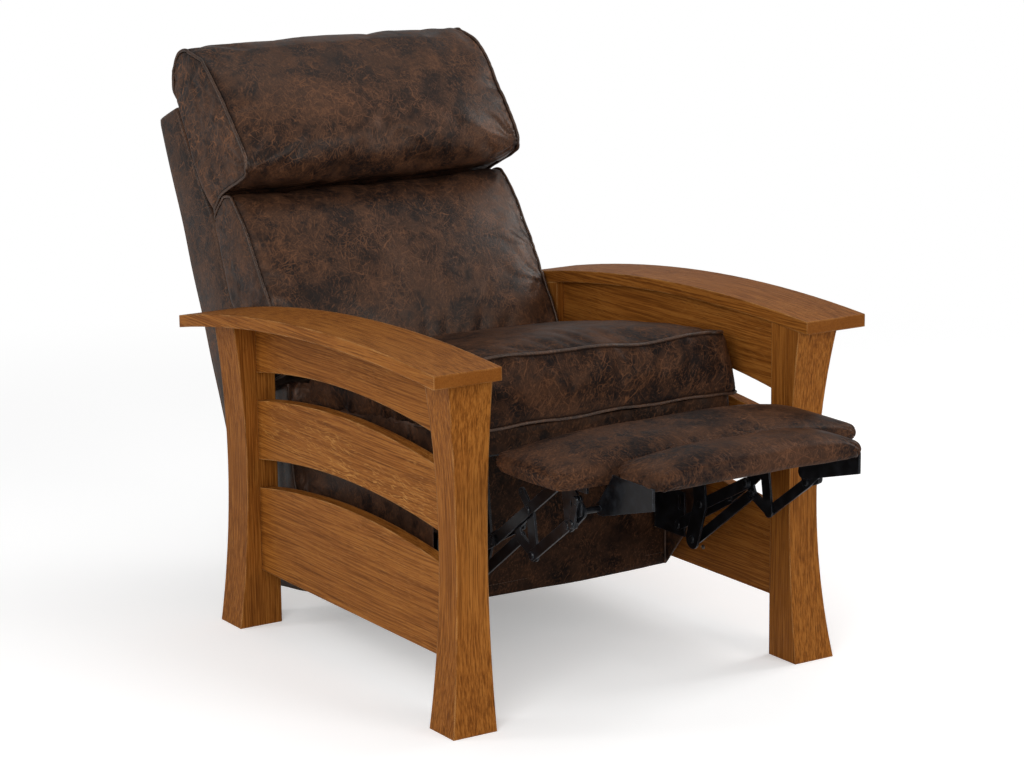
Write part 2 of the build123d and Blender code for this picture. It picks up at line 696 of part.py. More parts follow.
def hanger_plate():
    """Inner plate hung from the front rail, with the guide and drive pins."""
    half = HANGER_WIDTH / 2
    top_place = (BOX_FRONT + half / 2, BOX_ARM_BOTTOM - half)
    flat = capsule(DRIVE_PIN, GUIDE_PIN, half)
    flat = flat + capsule(GUIDE_PIN, top_place, half)
    cap = Pos(top_place[0], BOX_ARM_BOTTOM - half / 2) * Rectangle(HANGER_WIDTH, half)
    plate = stamped(flat + cap, 6, [])
    inner = layer_face(6) - PLATE
    y_low = top_place[0] - half
    flange = block(-inner, -inner + HANGER_WIDTH, y_low, y_low + HANGER_WIDTH,
                   BOX_ARM_BOTTOM - FLANGE_THICKNESS, BOX_ARM_BOTTOM)
    pins = rivet(GUIDE_PIN, 5, 6, False, True) + rivet(DRIVE_PIN, 4, 6, True, True)
    return plate + flange + pins


def rear_link():
    """Link from the outer plate to the knee."""
    flat = capsule(REAR_PIN, KNEE, WIDE_LINK)
    plate = stamped(flat, 1, [(REAR_PIN, PIN_RADIUS + PIN_PLAY)])
    return plate + rivet(KNEE, 1, 2, True, True)


def long_link():
    """Straight link from the knee, over the crossing, to the pad bracket."""
    hole = PIN_RADIUS + PIN_PLAY
    flat = capsule(KNEE, PAD_PIN, LONG_LINK_HALF)
    return stamped(flat, 2, [(KNEE, hole), (CROSSING, hole), (PAD_PIN, hole)])


def bell_crank():
    """Crank pinned at the crossing: front arm, guide and drive corners, and an ear."""
    flat = capsule(CROSSING, CRANK_PIN, CRANK_HALF)
    flat = flat + capsule(CROSSING, GUIDE_END, LONG_LINK_HALF)
    flat = flat + capsule(GUIDE_END, DRIVE_END, LONG_LINK_HALF)
    flat = flat + capsule(DRIVE_END, CRANK_PIN, LONG_LINK_HALF)
    flat = flat + capsule(CROSSING, EAR_END, SLIM_LINK)
    plate = stamped(flat, 3, [(EAR_END, PIN_RADIUS / 2)])
    pins = rivet(CROSSING, 2, 3, True, False) + rivet(CRANK_PIN, 2, 3, True, False)
    pins = pins + rivet(GUIDE_END, 3, 5, False, True) + rivet(DRIVE_END, 3, 4, False, False)
    return plate + pins


def drive_link():
    """Long low link from the hanger plate to the crank; its crank end has a loose hole."""
    flat = capsule(DRIVE_PIN, DRIVE_END, LONG_LINK_HALF)
    holes = [(DRIVE_PIN, PIN_RADIUS + PIN_PLAY), (DRIVE_END, PIN_RADIUS + OPEN_PLAY)]
    return stamped(flat, 4, holes)


def guide_link():
    """Link from the hanger plate to the crank's guide corner, loose at the crank."""
    flat = capsule(GUIDE_PIN, GUIDE_END, WIDE_LINK)
    holes = [(GUIDE_PIN, PIN_RADIUS + PIN_PLAY), (GUIDE_END, PIN_RADIUS + OPEN_PLAY)]
    return stamped(flat, 5, holes)


def front_link():
    """Link parallel to the long link, from the crank to the pad bracket, with a tail."""
    hole = PIN_RADIUS + PIN_PLAY
    flat = capsule(CRANK_PIN, FRONT_PIN, LONG_LINK_HALF) + capsule(FRONT_PIN, TAIL_PIN, SLIM_LINK)
    plate = stamped(flat, 2, [(CRANK_PIN, hole), (FRONT_PIN, hole)])
    return plate + rivet(TAIL_PIN, 1, 2, True, False)


def pad_bracket():
    """Plate under the main board that both front links carry."""
    front = FRONT_PIN[0] - BRACKET_FLANGE_FRONT
    rear = PAD_PIN[0] + BRACKET_FLANGE_REAR
    low = PAD_UNDER - 2 * CRANK_HALF
    band = Pos((front + rear) / 2, (low + PAD_UNDER) / 2) * Rectangle(rear - front, PAD_UNDER - low)
    flat = capsule(PAD_PIN, FRONT_PIN, CRANK_HALF) + capsule(FRONT_PIN, TUCK_PIVOT, CRANK_HALF)
    flat = flat + capsule(TUCK_PIVOT, PAD_PIN, CRANK_HALF) + band
    trim = Pos((front + rear) / 2, PAD_UNDER + CRANK_HALF) * Rectangle(rear - front, 2 * CRANK_HALF)
    plate = stamped(flat - trim, 3, [(TUCK_PIVOT, TUCK_SHAFT_RADIUS + PIN_PLAY)])
    inner = layer_face(3) - PLATE
    flange_low = PAD_UNDER - FLANGE_THICKNESS
    flange = block(-inner, -inner + BRACKET_FLANGE_WIDTH, front, rear, flange_low, PAD_UNDER)
    pins = rivet(PAD_PIN, 2, 3, True, True) + rivet(FRONT_PIN, 2, 3, True, True)
    return plate + flange + pins


def tuck_link():
    """Small link that swings the front pad's lever, loose at the lever."""
    flat = capsule(TAIL_PIN, LEVER_PIN, SMALL_LINK)
    holes = [(TAIL_PIN, PIN_RADIUS + PIN_PLAY), (LEVER_PIN, PIN_RADIUS / 2 + TUCK_OPEN_PLAY)]
    return stamped(flat, 1, holes)


def tuck_pad_places():
    """Front, rear and underside of the front pad."""
    rear = PAD_PIN[0] - PAD_FRONT - TUCK_PAD_GAP
    return rear - TUCK_PAD_DEPTH, rear, PAD_UNDER + TUCK_PAD_LIFT


def tuck_arm():
    """Front pad's arm: lever, stub shaft through the pad bracket, and stepped carrier."""
    lever = stamped(capsule(TUCK_PIVOT, LEVER_PIN, SLIM_LINK), 2, [])
    lever = lever + rivet(LEVER_PIN, 1, 2, True, False, PIN_RADIUS / 2)
    outer = layer_face(2)
    inner = TUCK_ARM_FACE - PLATE
    shaft = Plane.YZ.offset(-outer) * Pos(*TUCK_PIVOT) * Circle(TUCK_SHAFT_RADIUS)
    shaft = extrude(shaft, outer - inner, dir=ALONG_X)
    pad_front, pad_rear, under = tuck_pad_places()
    end = TUCK_PIVOT[0] - TUCK_ARM_LENGTH
    points = [
        (TUCK_PIVOT[0] - SMALL_LINK, TUCK_PIVOT[1] - CRANK_HALF),
        (TUCK_PIVOT[0] + CRANK_HALF, TUCK_PIVOT[1]),
        (pad_rear, under - FLANGE_THICKNESS),
        (pad_rear, under),
        (end, under),
        (end, TUCK_PIVOT[1] + TUCK_ARM_RISE),
    ]
    plate = Plane.YZ.offset(-TUCK_ARM_FACE) * (closed_face(points) + Pos(*TUCK_PIVOT) * Circle(CRANK_HALF))
    carrier = extrude(plate, PLATE, dir=ALONG_X)
    flange_rear = pad_rear - BOARD_INSET
    flange_low = under - FLANGE_THICKNESS
    flange = block(-inner, -inner + TUCK_FLANGE_WIDTH, end, flange_rear, flange_low, under)
    return lever + shaft + carrier + flange


def pad_section(front, rear, under, thickness, full):
    """Rounded side outline of a footrest pad; full is 1 in the middle, less at the ends."""
    inset = PAD_END_INSET * (1 - full)
    front = front + inset
    rear = rear - inset
    height = thickness * (full + 1) / 2
    side = height * PAD_SIDE_SHARE
    bulge = side * PAD_BULGE_SHARE
    reach = 2 * bulge
    low_front = (front + bulge, under)
    low_rear = (rear - bulge, under)
    high_front = (front + reach, under + height - bulge)
    high_rear = (rear - reach, under + height - bulge)
    edges = [
        Line(low_rear, low_front),
        ThreePointArc(low_front, (front, under + height / 2), high_front),
        arc(high_front, high_rear, bulge * full),
        ThreePointArc(high_rear, (rear, under + height / 2), low_rear),
    ]
    return make_face(edges)


def pad(front, rear, under, thickness, half):
    """A footrest pad with rounded edges and shrunken ends."""
    sections = []
    for station, full in zip(PAD_STATION_SHARES, PAD_FULL_SHARES):
        face = pad_section(front, rear, under, thickness, full)
        sections.append(Plane.YZ.offset(half * station) * face)
    return loft(sections, ruled=True)


def footrest_pads():
    """Both pads and the boards let into their undersides."""
    front = PAD_PIN[0] - PAD_FRONT
    rear = PAD_PIN[0] + PAD_REAR
    tuck_front, tuck_rear, tuck_under = tuck_pad_places()
    inset = 2 * BOARD_INSET
    main_board = block(
        -PAD_HALF_WIDTH + inset, PAD_HALF_WIDTH - inset, front + inset, rear - inset,
        PAD_UNDER, PAD_UNDER + BOARD_THICKNESS
    )
    front_board = block(
        -TUCK_PAD_HALF_WIDTH + inset, TUCK_PAD_HALF_WIDTH - inset, tuck_front + BOARD_INSET,
        tuck_rear - BOARD_INSET, tuck_under, tuck_under + BOARD_THICKNESS
    )
    main_pad = pad(front, rear, PAD_UNDER, PAD_THICKNESS, PAD_HALF_WIDTH) - main_board
    front_pad = pad(tuck_front, tuck_rear, tuck_under, TUCK_PAD_THICKNESS, TUCK_PAD_HALF_WIDTH)
    return {
        "main_board": main_board,
        "main_pad": main_pad,
        "front_board": front_board,
        "front_pad": front_pad - front_board,
    }


def links():
    """The left links of the footrest, each of which turns by itself."""
    return {
        "rear_link": rear_link(),
        "long_link": long_link(),
        "bell_crank": bell_crank(),
        "drive_link": drive_link(),
        "guide_link": guide_link(),
        "front_link": front_link(),
        "tuck_link": tuck_link(),
    }


def carriers():
    """The left steel plates that are fixed to the box or to a pad's board."""
    return {
        "side_plates": side_plate(),
        "hanger_plates": hanger_plate(),
        "pad_brackets": pad_bracket(),
        "tuck_arms": tuck_arm(),
    }


def back_outline():
    """Side outline of the back's covered shell, foot to top, with its hollow shoulder line."""
    tail_rear = lean(-BACK_TAIL, 0)
    top_rear = lean(BACK_HEIGHT, 0)
    top_front = lean(BACK_HEIGHT, BACK_TOP_DEPTH)
    shoulder = lean(BACK_SHOULDER_HEIGHT, BACK_SHOULDER_DEPTH)
    half_up = (BACK_HEIGHT + BACK_SHOULDER_HEIGHT) / 2
    half_out = (BACK_TOP_DEPTH + BACK_SHOULDER_DEPTH) / 2 - BACK_SHOULDER_HOLLOW
    tail_front = lean(-BACK_TAIL, BACK_SHOULDER_DEPTH)
    edges = [
        Line(tail_rear, top_rear),
        Line(top_rear, top_front),
        ThreePointArc(top_front, lean(half_up, half_out), shoulder),
        Line(shoulder, tail_front),
        Line(tail_front, tail_rear),
    ]
    return make_face(edges)


def back_shell_parts():
    """Outside back with its sides, and the hardwood frame inside."""
    half = BACK_HALF_WIDTH
    inner = half - BACK_SIDE_SKIN
    stile_inner = hinge_plate_face()
    outer = across(back_outline(), -half, half)
    core_points = [
        lean(-BACK_TAIL - BACK_SKIN, BACK_SKIN),
        lean(BACK_HEIGHT - BACK_SKIN, BACK_SKIN),
        lean(BACK_HEIGHT - BACK_SKIN, BACK_SHOULDER_DEPTH + BACK_SKIN),
        lean(-BACK_TAIL - BACK_SKIN, BACK_SHOULDER_DEPTH + BACK_SKIN),
    ]
    shell = outer - across(closed_face(core_points), -inner, inner)
    stile_points = [
        lean(-BACK_TAIL, BACK_SKIN),
        lean(BACK_HEIGHT - BACK_SKIN, BACK_SKIN),
        lean(BACK_HEIGHT - BACK_SKIN, BACK_SKIN + STILE_DEPTH),
        lean(-BACK_TAIL, BACK_SKIN + STILE_DEPTH),
    ]
    stile = across(closed_face(stile_points), -inner, -stile_inner)
    rails = {}
    tops = {"back_top_rail": BACK_HEIGHT - BACK_SKIN, "back_bottom_rail": BACK_RAIL_HEIGHT - BACK_TAIL}
    for name, top in tops.items():
        points = [
            lean(top - BACK_RAIL_HEIGHT, BACK_SKIN),
            lean(top, BACK_SKIN),
            lean(top, BACK_SKIN + STILE_DEPTH),
            lean(top - BACK_RAIL_HEIGHT, BACK_SKIN + STILE_DEPTH),
        ]
        half_run = stile_inner - (PLATE if name == "back_bottom_rail" else 0)
        rails[name] = across(closed_face(points), -half_run, half_run)
    parts = {"back_shell": shell, "back_stiles": [stile, right_of(stile)]}
    parts.update(rails)
    return parts


def back_straps():
    """Straps between the stiles, at the stiles' front."""
    solids = []
    room = BACK_SIDE_SKIN
    low = BACK_RAIL_HEIGHT - BACK_TAIL
    high = BACK_HEIGHT - BACK_SKIN - BACK_RAIL_HEIGHT
    pitch = (high - low) / BACK_STRAP_COUNT
    depth = BACK_SKIN + STILE_DEPTH
    for index in range(BACK_STRAP_COUNT):
        up = low + pitch * (index + 1 / 2)
        points = [
            lean(up - STRAP_WIDTH / 2, depth),
            lean(up + STRAP_WIDTH / 2, depth),
            lean(up + STRAP_WIDTH / 2, depth + STRAP_THICKNESS),
            lean(up - STRAP_WIDTH / 2, depth + STRAP_THICKNESS),
        ]
        solids.append(across(closed_face(points), -BACK_HALF_WIDTH + room, BACK_HALF_WIDTH - room))
    return solids


def back_hinge_bore():
    """The hinge pin's bore in the left box board."""
    place = Plane.YZ.offset(-BOX_HALF_WIDTH) * Pos(*BACK_PIN)
    return extrude(place * Circle(HINGE_PIN_RADIUS), BOX_BOARD, dir=ALONG_X)


def back_hinge_pins():
    """Pins fixed in the box boards that the back turns on."""
    inner = hinge_plate_face() - PLATE - LAYER_GAP
    shank = Plane.YZ.offset(-BOX_HALF_WIDTH) * Pos(*BACK_PIN) * Circle(HINGE_PIN_RADIUS)
    pin = extrude(shank, BOX_HALF_WIDTH - inner, dir=ALONG_X)
    disc = Plane.YZ.offset(-inner) * Pos(*BACK_PIN) * Circle(HEAD_RADIUS + PIN_RADIUS)
    pin = pin + extrude(disc, HEAD_HEIGHT, dir=ALONG_X)
    return [pin, right_of(pin)]


def hinge_plate_face():
    """Outer |X| of the back's steel arms, flush with the stiles' inner faces."""
    return BOX_INNER - LAYER_GAP


def back_hinges():
    """Steel arms from the back's stiles forward to the hinge pins."""
    face = hinge_plate_face()
    foot = lean(-BACK_TAIL + HINGE_PLATE_HALF, BACK_SKIN + STILE_DEPTH / 2)
    head = lean(HINGE_PLATE_UP, BACK_SKIN + STILE_DEPTH / 2)
    flat = capsule(BACK_PIN, foot, HINGE_PLATE_HALF) + capsule(foot, head, HINGE_PLATE_HALF)
    flat = flat - Pos(*BACK_PIN) * Circle(HINGE_PIN_RADIUS + PIN_PLAY)
    plate = extrude(Plane.YZ.offset(-face) * flat, PLATE, dir=ALONG_X)
    return [plate, right_of(plate)]


def lumbar_section(crown):
    """Side outline of the lumbar pillow with its belly pushed out by a crown."""
    foot_rear = lean(LUMBAR_BOTTOM, BACK_SHOULDER_DEPTH)
    top_rear = lean(BACK_SHOULDER_HEIGHT - BACK_SKIN, BACK_SHOULDER_DEPTH)
    top = lean(LUMBAR_TOP, LUMBAR_TOP_DEPTH)
    welt_top = lean(LUMBAR_TOP - BACK_SKIN / 2, LUMBAR_WELT_TOP_DEPTH)
    foot_front = lean(LUMBAR_BOTTOM, LUMBAR_FOOT_DEPTH)
    up = LUMBAR_BOTTOM + (LUMBAR_TOP - LUMBAR_BOTTOM) * LUMBAR_BELLY_SHARE
    belly = lean(up, LUMBAR_WELT_DEPTH + crown)
    shoulder = lean(LUMBAR_TOP - BACK_SKIN / 4, (BACK_SHOULDER_DEPTH + LUMBAR_TOP_DEPTH) / 2)
    edges = [
        Line(foot_rear, top_rear),
        ThreePointArc(top_rear, shoulder, top),
        Line(top, welt_top),
        ThreePointArc(welt_top, belly, foot_front),
        Line(foot_front, foot_rear),
    ]
    return make_face(edges)


def head_section(crown):
    """D-shaped side outline of the rolled head pillow."""
    nose_up = HEAD_BOTTOM + HEAD_PILLOW_HEIGHT * HEAD_NOSE_SHARE
    front_up = HEAD_BOTTOM + HEAD_PILLOW_HEIGHT * HEAD_FRONT_SHARE
    top_front_up = HEAD_BOTTOM + HEAD_PILLOW_HEIGHT * HEAD_TOP_FRONT_SHARE
    rear_up = HEAD_BOTTOM + HEAD_PILLOW_HEIGHT * HEAD_REAR_SHARE
    bottom_rear = lean(HEAD_BOTTOM, BACK_SHOULDER_DEPTH - BACK_SKIN)
    bottom = lean(HEAD_BOTTOM, HEAD_BOTTOM_DEPTH)
    nose = lean(nose_up, HEAD_NOSE_DEPTH + crown / 2)
    front = lean(front_up, HEAD_FRONT_DEPTH + crown)
    top_front = lean(top_front_up, HEAD_TOP_FRONT_DEPTH + crown)
    top = lean(HEAD_BOTTOM + HEAD_PILLOW_HEIGHT + crown / 2, HEAD_TOP_DEPTH)
    rear = lean(rear_up, HEAD_REAR_DEPTH)
    seat = lean(BACK_HEIGHT, BACK_TOP_DEPTH)
    low_nose_up = (HEAD_BOTTOM + nose_up) / 2 - BACK_SKIN
    low_nose = lean(low_nose_up, (HEAD_BOTTOM_DEPTH + HEAD_NOSE_DEPTH) / 2)
    edges = [
        ThreePointArc(bottom, low_nose, nose),
        ThreePointArc(nose, front, top_front),
        ThreePointArc(top_front, top, rear),
        Line(rear, seat),
        Line(seat, bottom_rear),
        Line(bottom_rear, bottom),
    ]
    return make_face(edges)


def pillow(section, half, crown):
    """A pillow lofted across the back, fuller in the middle than at its ends."""
    sections = []
    for station, share in zip(CUSHION_STATION_SHARES, CUSHION_CROWN_SHARES):
        sections.append(Plane.YZ.offset(half * station) * section(crown * share))
    return loft(sections)


def back():
    """Everything that tilts with the back."""
    parts = back_shell_parts()
    parts["back_webbing"] = back_straps()
    parts["back_hinges"] = back_hinges()
    parts["lumbar_pillow"] = pillow(lumbar_section, LUMBAR_HALF_WIDTH, LUMBAR_CROWN)
    head = pillow(head_section, HEAD_HALF_WIDTH, HEAD_CROWN)
    parts["head_pillow"] = head - across(back_outline(), -BACK_HALF_WIDTH, BACK_HALF_WIDTH)
    return parts


def chair():
    """Every node of the chair, before the last shift."""
    nodes = {}
    frame = side_frame()
    frame["bottom_rail"] = bored(rail_screw_hole(frame["bottom_rail"]))
    for group in (frame, links()):
        for name, left in group.items():
            nodes[name + "_left"] = left
            nodes[name + "_right"] = right_of(left)
    for name, left in carriers().items():
        nodes[name] = [left, right_of(left)]
    nodes.update(seat_box())
    nodes["cross_tube"] = cross_tube()
    nodes["seat_cushion"] = seat_cushion()
    nodes["back_hinge_pins"] = back_hinge_pins()
    nodes.update(footrest_pads())
    nodes.update(back())
    return nodes


def as_node(shape):
    """One compound or solid for a node."""
    if isinstance(shape, list):
        return Compound(children=[solid for item in shape for solid in item.solids()])
    solids = shape.solids()
    return solids[0] if len(solids) == 1 else Compound(children=list(solids))


NODES = {name: as_node(shape) for name, shape in chair().items()}
BOUNDS = Compound([Compound(shape.solids()) for shape in NODES.values()]).bounding_box()
SHIFT = (-(BOUNDS.min.X + BOUNDS.max.X) / 2, -(BOUNDS.min.Y + BOUNDS.max.Y) / 2, -BOUNDS.min.Z)

if __name__ == "__main__":
    os.makedirs("parts", exist_ok=True)
    for node, shape in NODES.items():
        export_step(Pos(*SHIFT) * shape, "parts/" + node + ".step")
    print("nodes", len(NODES), "shift", SHIFT, "size", BOUNDS.size)
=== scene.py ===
"""Mission reclining armchair: upholstery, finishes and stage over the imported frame.

Metres. Places are written as in the part's source, with Y from the front legs' front faces,
and `FRONT_Y` moves them into the frame.
"""

import math

import bmesh
import bpy
import numpy as np
from mathutils import Matrix, Vector, kdtree


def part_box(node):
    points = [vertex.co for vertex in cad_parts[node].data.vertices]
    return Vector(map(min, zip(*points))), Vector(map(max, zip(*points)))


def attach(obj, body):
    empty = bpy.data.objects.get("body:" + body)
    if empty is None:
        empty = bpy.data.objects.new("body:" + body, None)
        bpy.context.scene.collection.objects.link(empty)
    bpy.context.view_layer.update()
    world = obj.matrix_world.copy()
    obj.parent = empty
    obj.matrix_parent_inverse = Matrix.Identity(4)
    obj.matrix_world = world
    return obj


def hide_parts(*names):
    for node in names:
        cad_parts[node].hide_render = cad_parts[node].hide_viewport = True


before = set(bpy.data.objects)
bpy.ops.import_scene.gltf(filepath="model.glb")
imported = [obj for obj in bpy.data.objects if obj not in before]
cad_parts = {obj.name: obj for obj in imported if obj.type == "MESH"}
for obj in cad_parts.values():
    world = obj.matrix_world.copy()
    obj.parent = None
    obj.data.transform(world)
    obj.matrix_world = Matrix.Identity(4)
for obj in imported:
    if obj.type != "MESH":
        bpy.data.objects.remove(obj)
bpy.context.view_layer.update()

bl_info = {
    "name": "Mission recliner",
    "version": (1, 0, 0),
    "blender": (4, 5, 0),
    "location": "3D View > Sidebar > Recliner",
    "description": "Upholstery, finishes and stage for a mission reclining armchair",
    "category": "Object",
}

FRONT_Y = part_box("front_leg_left")[0].y
BACK_FOOT = (0.936, 0.256)
BACK_LEAN = math.radians(22.7)
SEAT_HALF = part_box("seat_cushion")[1].x
LUMBAR_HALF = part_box("lumbar_pillow")[1].x
HEAD_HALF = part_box("head_pillow")[1].x
SHELL_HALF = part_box("back_shell")[1].x
COVER_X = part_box("side_covers")[1].x
BOARD_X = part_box("side_board_right")[1].x
MAIN_PAD_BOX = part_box("main_pad")
FRONT_PAD_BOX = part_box("front_pad")
BORDER_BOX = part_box("front_border")
SKIRT_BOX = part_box("skirt_panel")
DECK_FRONT = (0.165, 0.452)
DECK_REAR = (0.770, 0.396)
LEATHER_THICK = 0.0022
CORD_STEP, CORD_SIDES = 0.005, 10
CLOTH_FRAMES = 20
FLOOR_REACH = 60
PHOTO_WIDTH = 1024
CAMERA_FOCUS = 2928.9
SENSOR_WIDTH = 36
CAMERA_PLACE = (-2.6890, -3.7772, 1.5599)
CAMERA_YAW, CAMERA_PITCH, CAMERA_ROLL = math.radians(32.665), math.radians(-12.488), math.radians(-0.640)


# Places

def deck(y):
    """Height of the sloping deck's top at a depth."""
    slope = (DECK_FRONT[1] - DECK_REAR[1]) / (DECK_REAR[0] - DECK_FRONT[0])
    return DECK_FRONT[1] - slope * (y - DECK_FRONT[0])


def lean(up, forward):
    """A place on the back, as depth and height."""
    y = BACK_FOOT[0] + up * math.sin(BACK_LEAN) - forward * math.cos(BACK_LEAN)
    z = BACK_FOOT[1] + up * math.cos(BACK_LEAN) + forward * math.sin(BACK_LEAN)
    return y, z


def on_back(x, up, forward):
    """A point of the leaning back in the frame."""
    y, z = lean(up, forward)
    return np.array((x, y + FRONT_Y, z))


UP_WAY = on_back(0, 1, 0) - on_back(0, 0, 0)
OUT_WAY = on_back(0, 0, 1) - on_back(0, 0, 0)


def smooth_line(points, count, rounds=3):
    """A polyline with its inner corners cut round, resampled to count + 1 even points."""
    line = np.array(points, float)
    for _ in range(rounds):
        if len(line) < 3:
            break
        low = 0.75 * line[:-1] + 0.25 * line[1:]
        high = 0.25 * line[:-1] + 0.75 * line[1:]
        inner = np.stack((low, high), axis=1).reshape(-1, line.shape[1])[1:-1]
        line = np.vstack((line[:1], inner, line[-1:]))
    run = np.concatenate(((0,), np.cumsum(np.linalg.norm(np.diff(line, axis=0), axis=1))))
    at = np.linspace(0, run[-1], count + 1)
    return np.stack([np.interp(at, run, line[:, axis]) for axis in range(line.shape[1])], axis=1)


SHELL_TAIL, SHELL_TOP = -0.045, 0.660
SHELL_ROOM = 0.0175
FILLING_ROOM = 0.012
PILLOW_PINCH, PILLOW_WANDER = 0.003, 0.0012
SHOULDER_UP, SHOULDER = 0.434, 0.126
HOLLOW = smooth_line([(SHELL_TOP, 0.076), (0.600, 0.0845), (0.547, 0.0945), (0.490, 0.1085),
                      (SHOULDER_UP, SHOULDER)], 60, rounds=2)[::-1]


def shell_front(up):
    """How far forward the back shell's sides reach at a height."""
    return np.interp(up, HOLLOW[:, 0], HOLLOW[:, 1], left=SHOULDER)


def ease(value):
    """Smooth step from 0 to 1."""
    value = np.clip(value, 0, 1)
    return value * value * (3 - 2 * value)


def ripple(points, length, seed, waves=14):
    """Smooth random relief between about -1 and 1, with waves of about one length."""
    source = np.random.default_rng(seed)
    total = np.zeros(len(points))
    for _ in range(waves):
        way = source.normal(size=3)
        way *= 2 * math.pi / (length * source.uniform(0.7, 1.5) * np.linalg.norm(way))
        total += np.cos(points @ way + source.uniform(0, 2 * math.pi))
    return total / math.sqrt(waves)


# Meshes

def coordinates(mesh):
    """Vertex places of a mesh as an array."""
    flat = np.empty(len(mesh.vertices) * 3)
    mesh.vertices.foreach_get("co", flat)
    return flat.reshape(-1, 3)


def set_coordinates(mesh, points):
    """Moves a mesh's vertices."""
    mesh.vertices.foreach_set("co", np.asarray(points, float).ravel())
    mesh.update()


def directions(mesh):
    """Vertex normals of a mesh as an array."""
    return np.array([tuple(vertex.normal) for vertex in mesh.vertices])


def new_piece(name, points, faces, edges=()):
    """A mesh object in the scene, its place in its mesh."""
    mesh = bpy.data.meshes.new(name)
    mesh.from_pydata([tuple(map(float, point)) for point in points], list(edges), faces)
    mesh.update()
    piece = bpy.data.objects.new(name, mesh)
    bpy.context.scene.collection.objects.link(piece)
    return piece


def rework(piece, change):
    """Runs a change on a piece's mesh in its editable form."""
    work = bmesh.new()
    work.from_mesh(piece.data)
    change(work)
    work.to_mesh(piece.data)
    work.free()


def face_outwards(piece):
    """Turns every face of a piece outwards."""
    rework(piece, lambda work: bmesh.ops.recalc_face_normals(work, faces=work.faces))


def shade_smooth(piece):
    """Smooth shading on every face."""
    piece.data.polygons.foreach_set("use_smooth", [True] * len(piece.data.polygons))
    piece.data.update()


def bake_modifiers(piece):
    """Replaces a piece's mesh by its evaluated one and clears its modifiers."""
    graph = bpy.context.evaluated_depsgraph_get()
    made = bpy.data.meshes.new_from_object(piece.evaluated_get(graph), depsgraph=graph)
    piece.modifiers.clear()
    piece.data = made
    made.name = piece.name
    return piece


def refine(piece):
    """Subdivides a piece once; its first vertices stay the lattice's own."""
    step = piece.modifiers.new("Refine", "SUBSURF")
    step.levels = step.render_levels = 1
    return bake_modifiers(piece)


def give_wall(piece, thickness, offset=-1):
    """Gives a thin piece its thickness, inwards unless the offset says otherwise."""
    wall = piece.modifiers.new("Wall", "SOLIDIFY")
    wall.thickness = thickness
    wall.offset = offset
    return bake_modifiers(piece)


def dress(piece, body, slot, *materials):
    """Gives a piece its body and materials; the slot argument is not used."""
    piece.data.materials.clear()
    for material in materials:
        piece.data.materials.append(material)
    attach(piece, body)
    return piece


class Lattice:
    """Quads on the outside of a box of cells, bent into a piece of upholstery.

    i runs across, j from the rear to the front and k from the bottom to the top.
    """

    def __init__(self, name, counts, place, sides="left right rear front bottom top"):
        across, deep, high = counts
        self.counts = counts
        self.index = {}
        self.keys = []
        self.points = []
        self.place = place
        faces = []
        wanted = sides.split()
        for side, fixed, first, second in (
            ("left", 0, deep, high), ("right", across, deep, high),
            ("rear", 0, across, high), ("front", deep, across, high),
            ("bottom", 0, across, deep), ("top", high, across, deep),
        ):
            if side not in wanted:
                continue
            for a in range(first):
                for b in range(second):
                    cell = ((a, b), (a + 1, b), (a + 1, b + 1), (a, b + 1))
                    if side in ("left", "right"):
                        keys = [(fixed, p, q) for p, q in cell]
                    elif side in ("rear", "front"):
                        keys = [(p, fixed, q) for p, q in cell]
                    else:
                        keys = [(p, q, fixed) for p, q in cell]
                    faces.append([self.vertex(key) for key in keys])
        self.piece = new_piece(name, self.points, faces)
        face_outwards(self.piece)

    def vertex(self, key):
        """Index of the vertex at a lattice place."""
        if key not in self.index:
            self.index[key] = len(self.points)
            self.keys.append(key)
            i, j, k = key
            across, deep, high = self.counts
            self.points.append(self.place(2 * i / across - 1, j / deep, k / high))
        return self.index[key]

    def level_rim(self, k):
        """Vertices of the closed loop round the box at one height."""
        across, deep, _ = self.counts
        keys = [(i, 0, k) for i in range(across)] + [(across, j, k) for j in range(deep)]
        keys += [(i, deep, k) for i in range(across, 0, -1)] + [(0, j, k) for j in range(deep, 0, -1)]
        return [self.index[key] for key in keys]

    def end_rim(self, i):
        """Vertices of the closed loop round one end."""
        _, deep, high = self.counts
        keys = [(i, j, 0) for j in range(deep)] + [(i, deep, k) for k in range(high)]
        keys += [(i, j, high) for j in range(deep, 0, -1)] + [(i, 0, k) for k in range(high, 0, -1)]
        return [self.index[key] for key in keys]


def swell(piece, held, pressure, growth, cap):
    """Cloth simulation: the leather swells between the places where it is held."""
    scene = bpy.context.scene
    rest = coordinates(piece.data)
    sewn = piece.vertex_groups.new(name="sewn")
    for index, weight in enumerate(held):
        sewn.add([index], float(weight), "REPLACE")
    cloth = piece.modifiers.new("Cloth", "CLOTH")
    leather = cloth.settings
    leather.quality = 6
    leather.mass = 0.4
    leather.air_damping = 3
    leather.tension_stiffness = leather.compression_stiffness = 18
    leather.shear_stiffness = 10
    leather.bending_stiffness = 2.5
    leather.vertex_group_mass = "sewn"
    leather.pin_stiffness = 4
    leather.use_pressure = True
    leather.uniform_pressure_force = pressure
    leather.shrink_min = -growth
    leather.effector_weights.gravity = 0
    cloth.point_cache.frame_start = 1
    cloth.point_cache.frame_end = CLOTH_FRAMES
    for step in range(1, CLOTH_FRAMES + 1):
        scene.frame_set(step)
    made = piece.evaluated_get(bpy.context.evaluated_depsgraph_get())
    moved = coordinates(made.to_mesh()) - rest
    made.to_mesh_clear()
    piece.modifiers.remove(cloth)
    piece.vertex_groups.remove(sewn)
    scene.frame_set(1)
    length = np.linalg.norm(moved, axis=1)
    share = np.where(length > 1e-9, cap * np.tanh(length / cap) / np.maximum(length, 1e-9), 0)
    set_coordinates(piece.data, rest + moved * share[:, None])


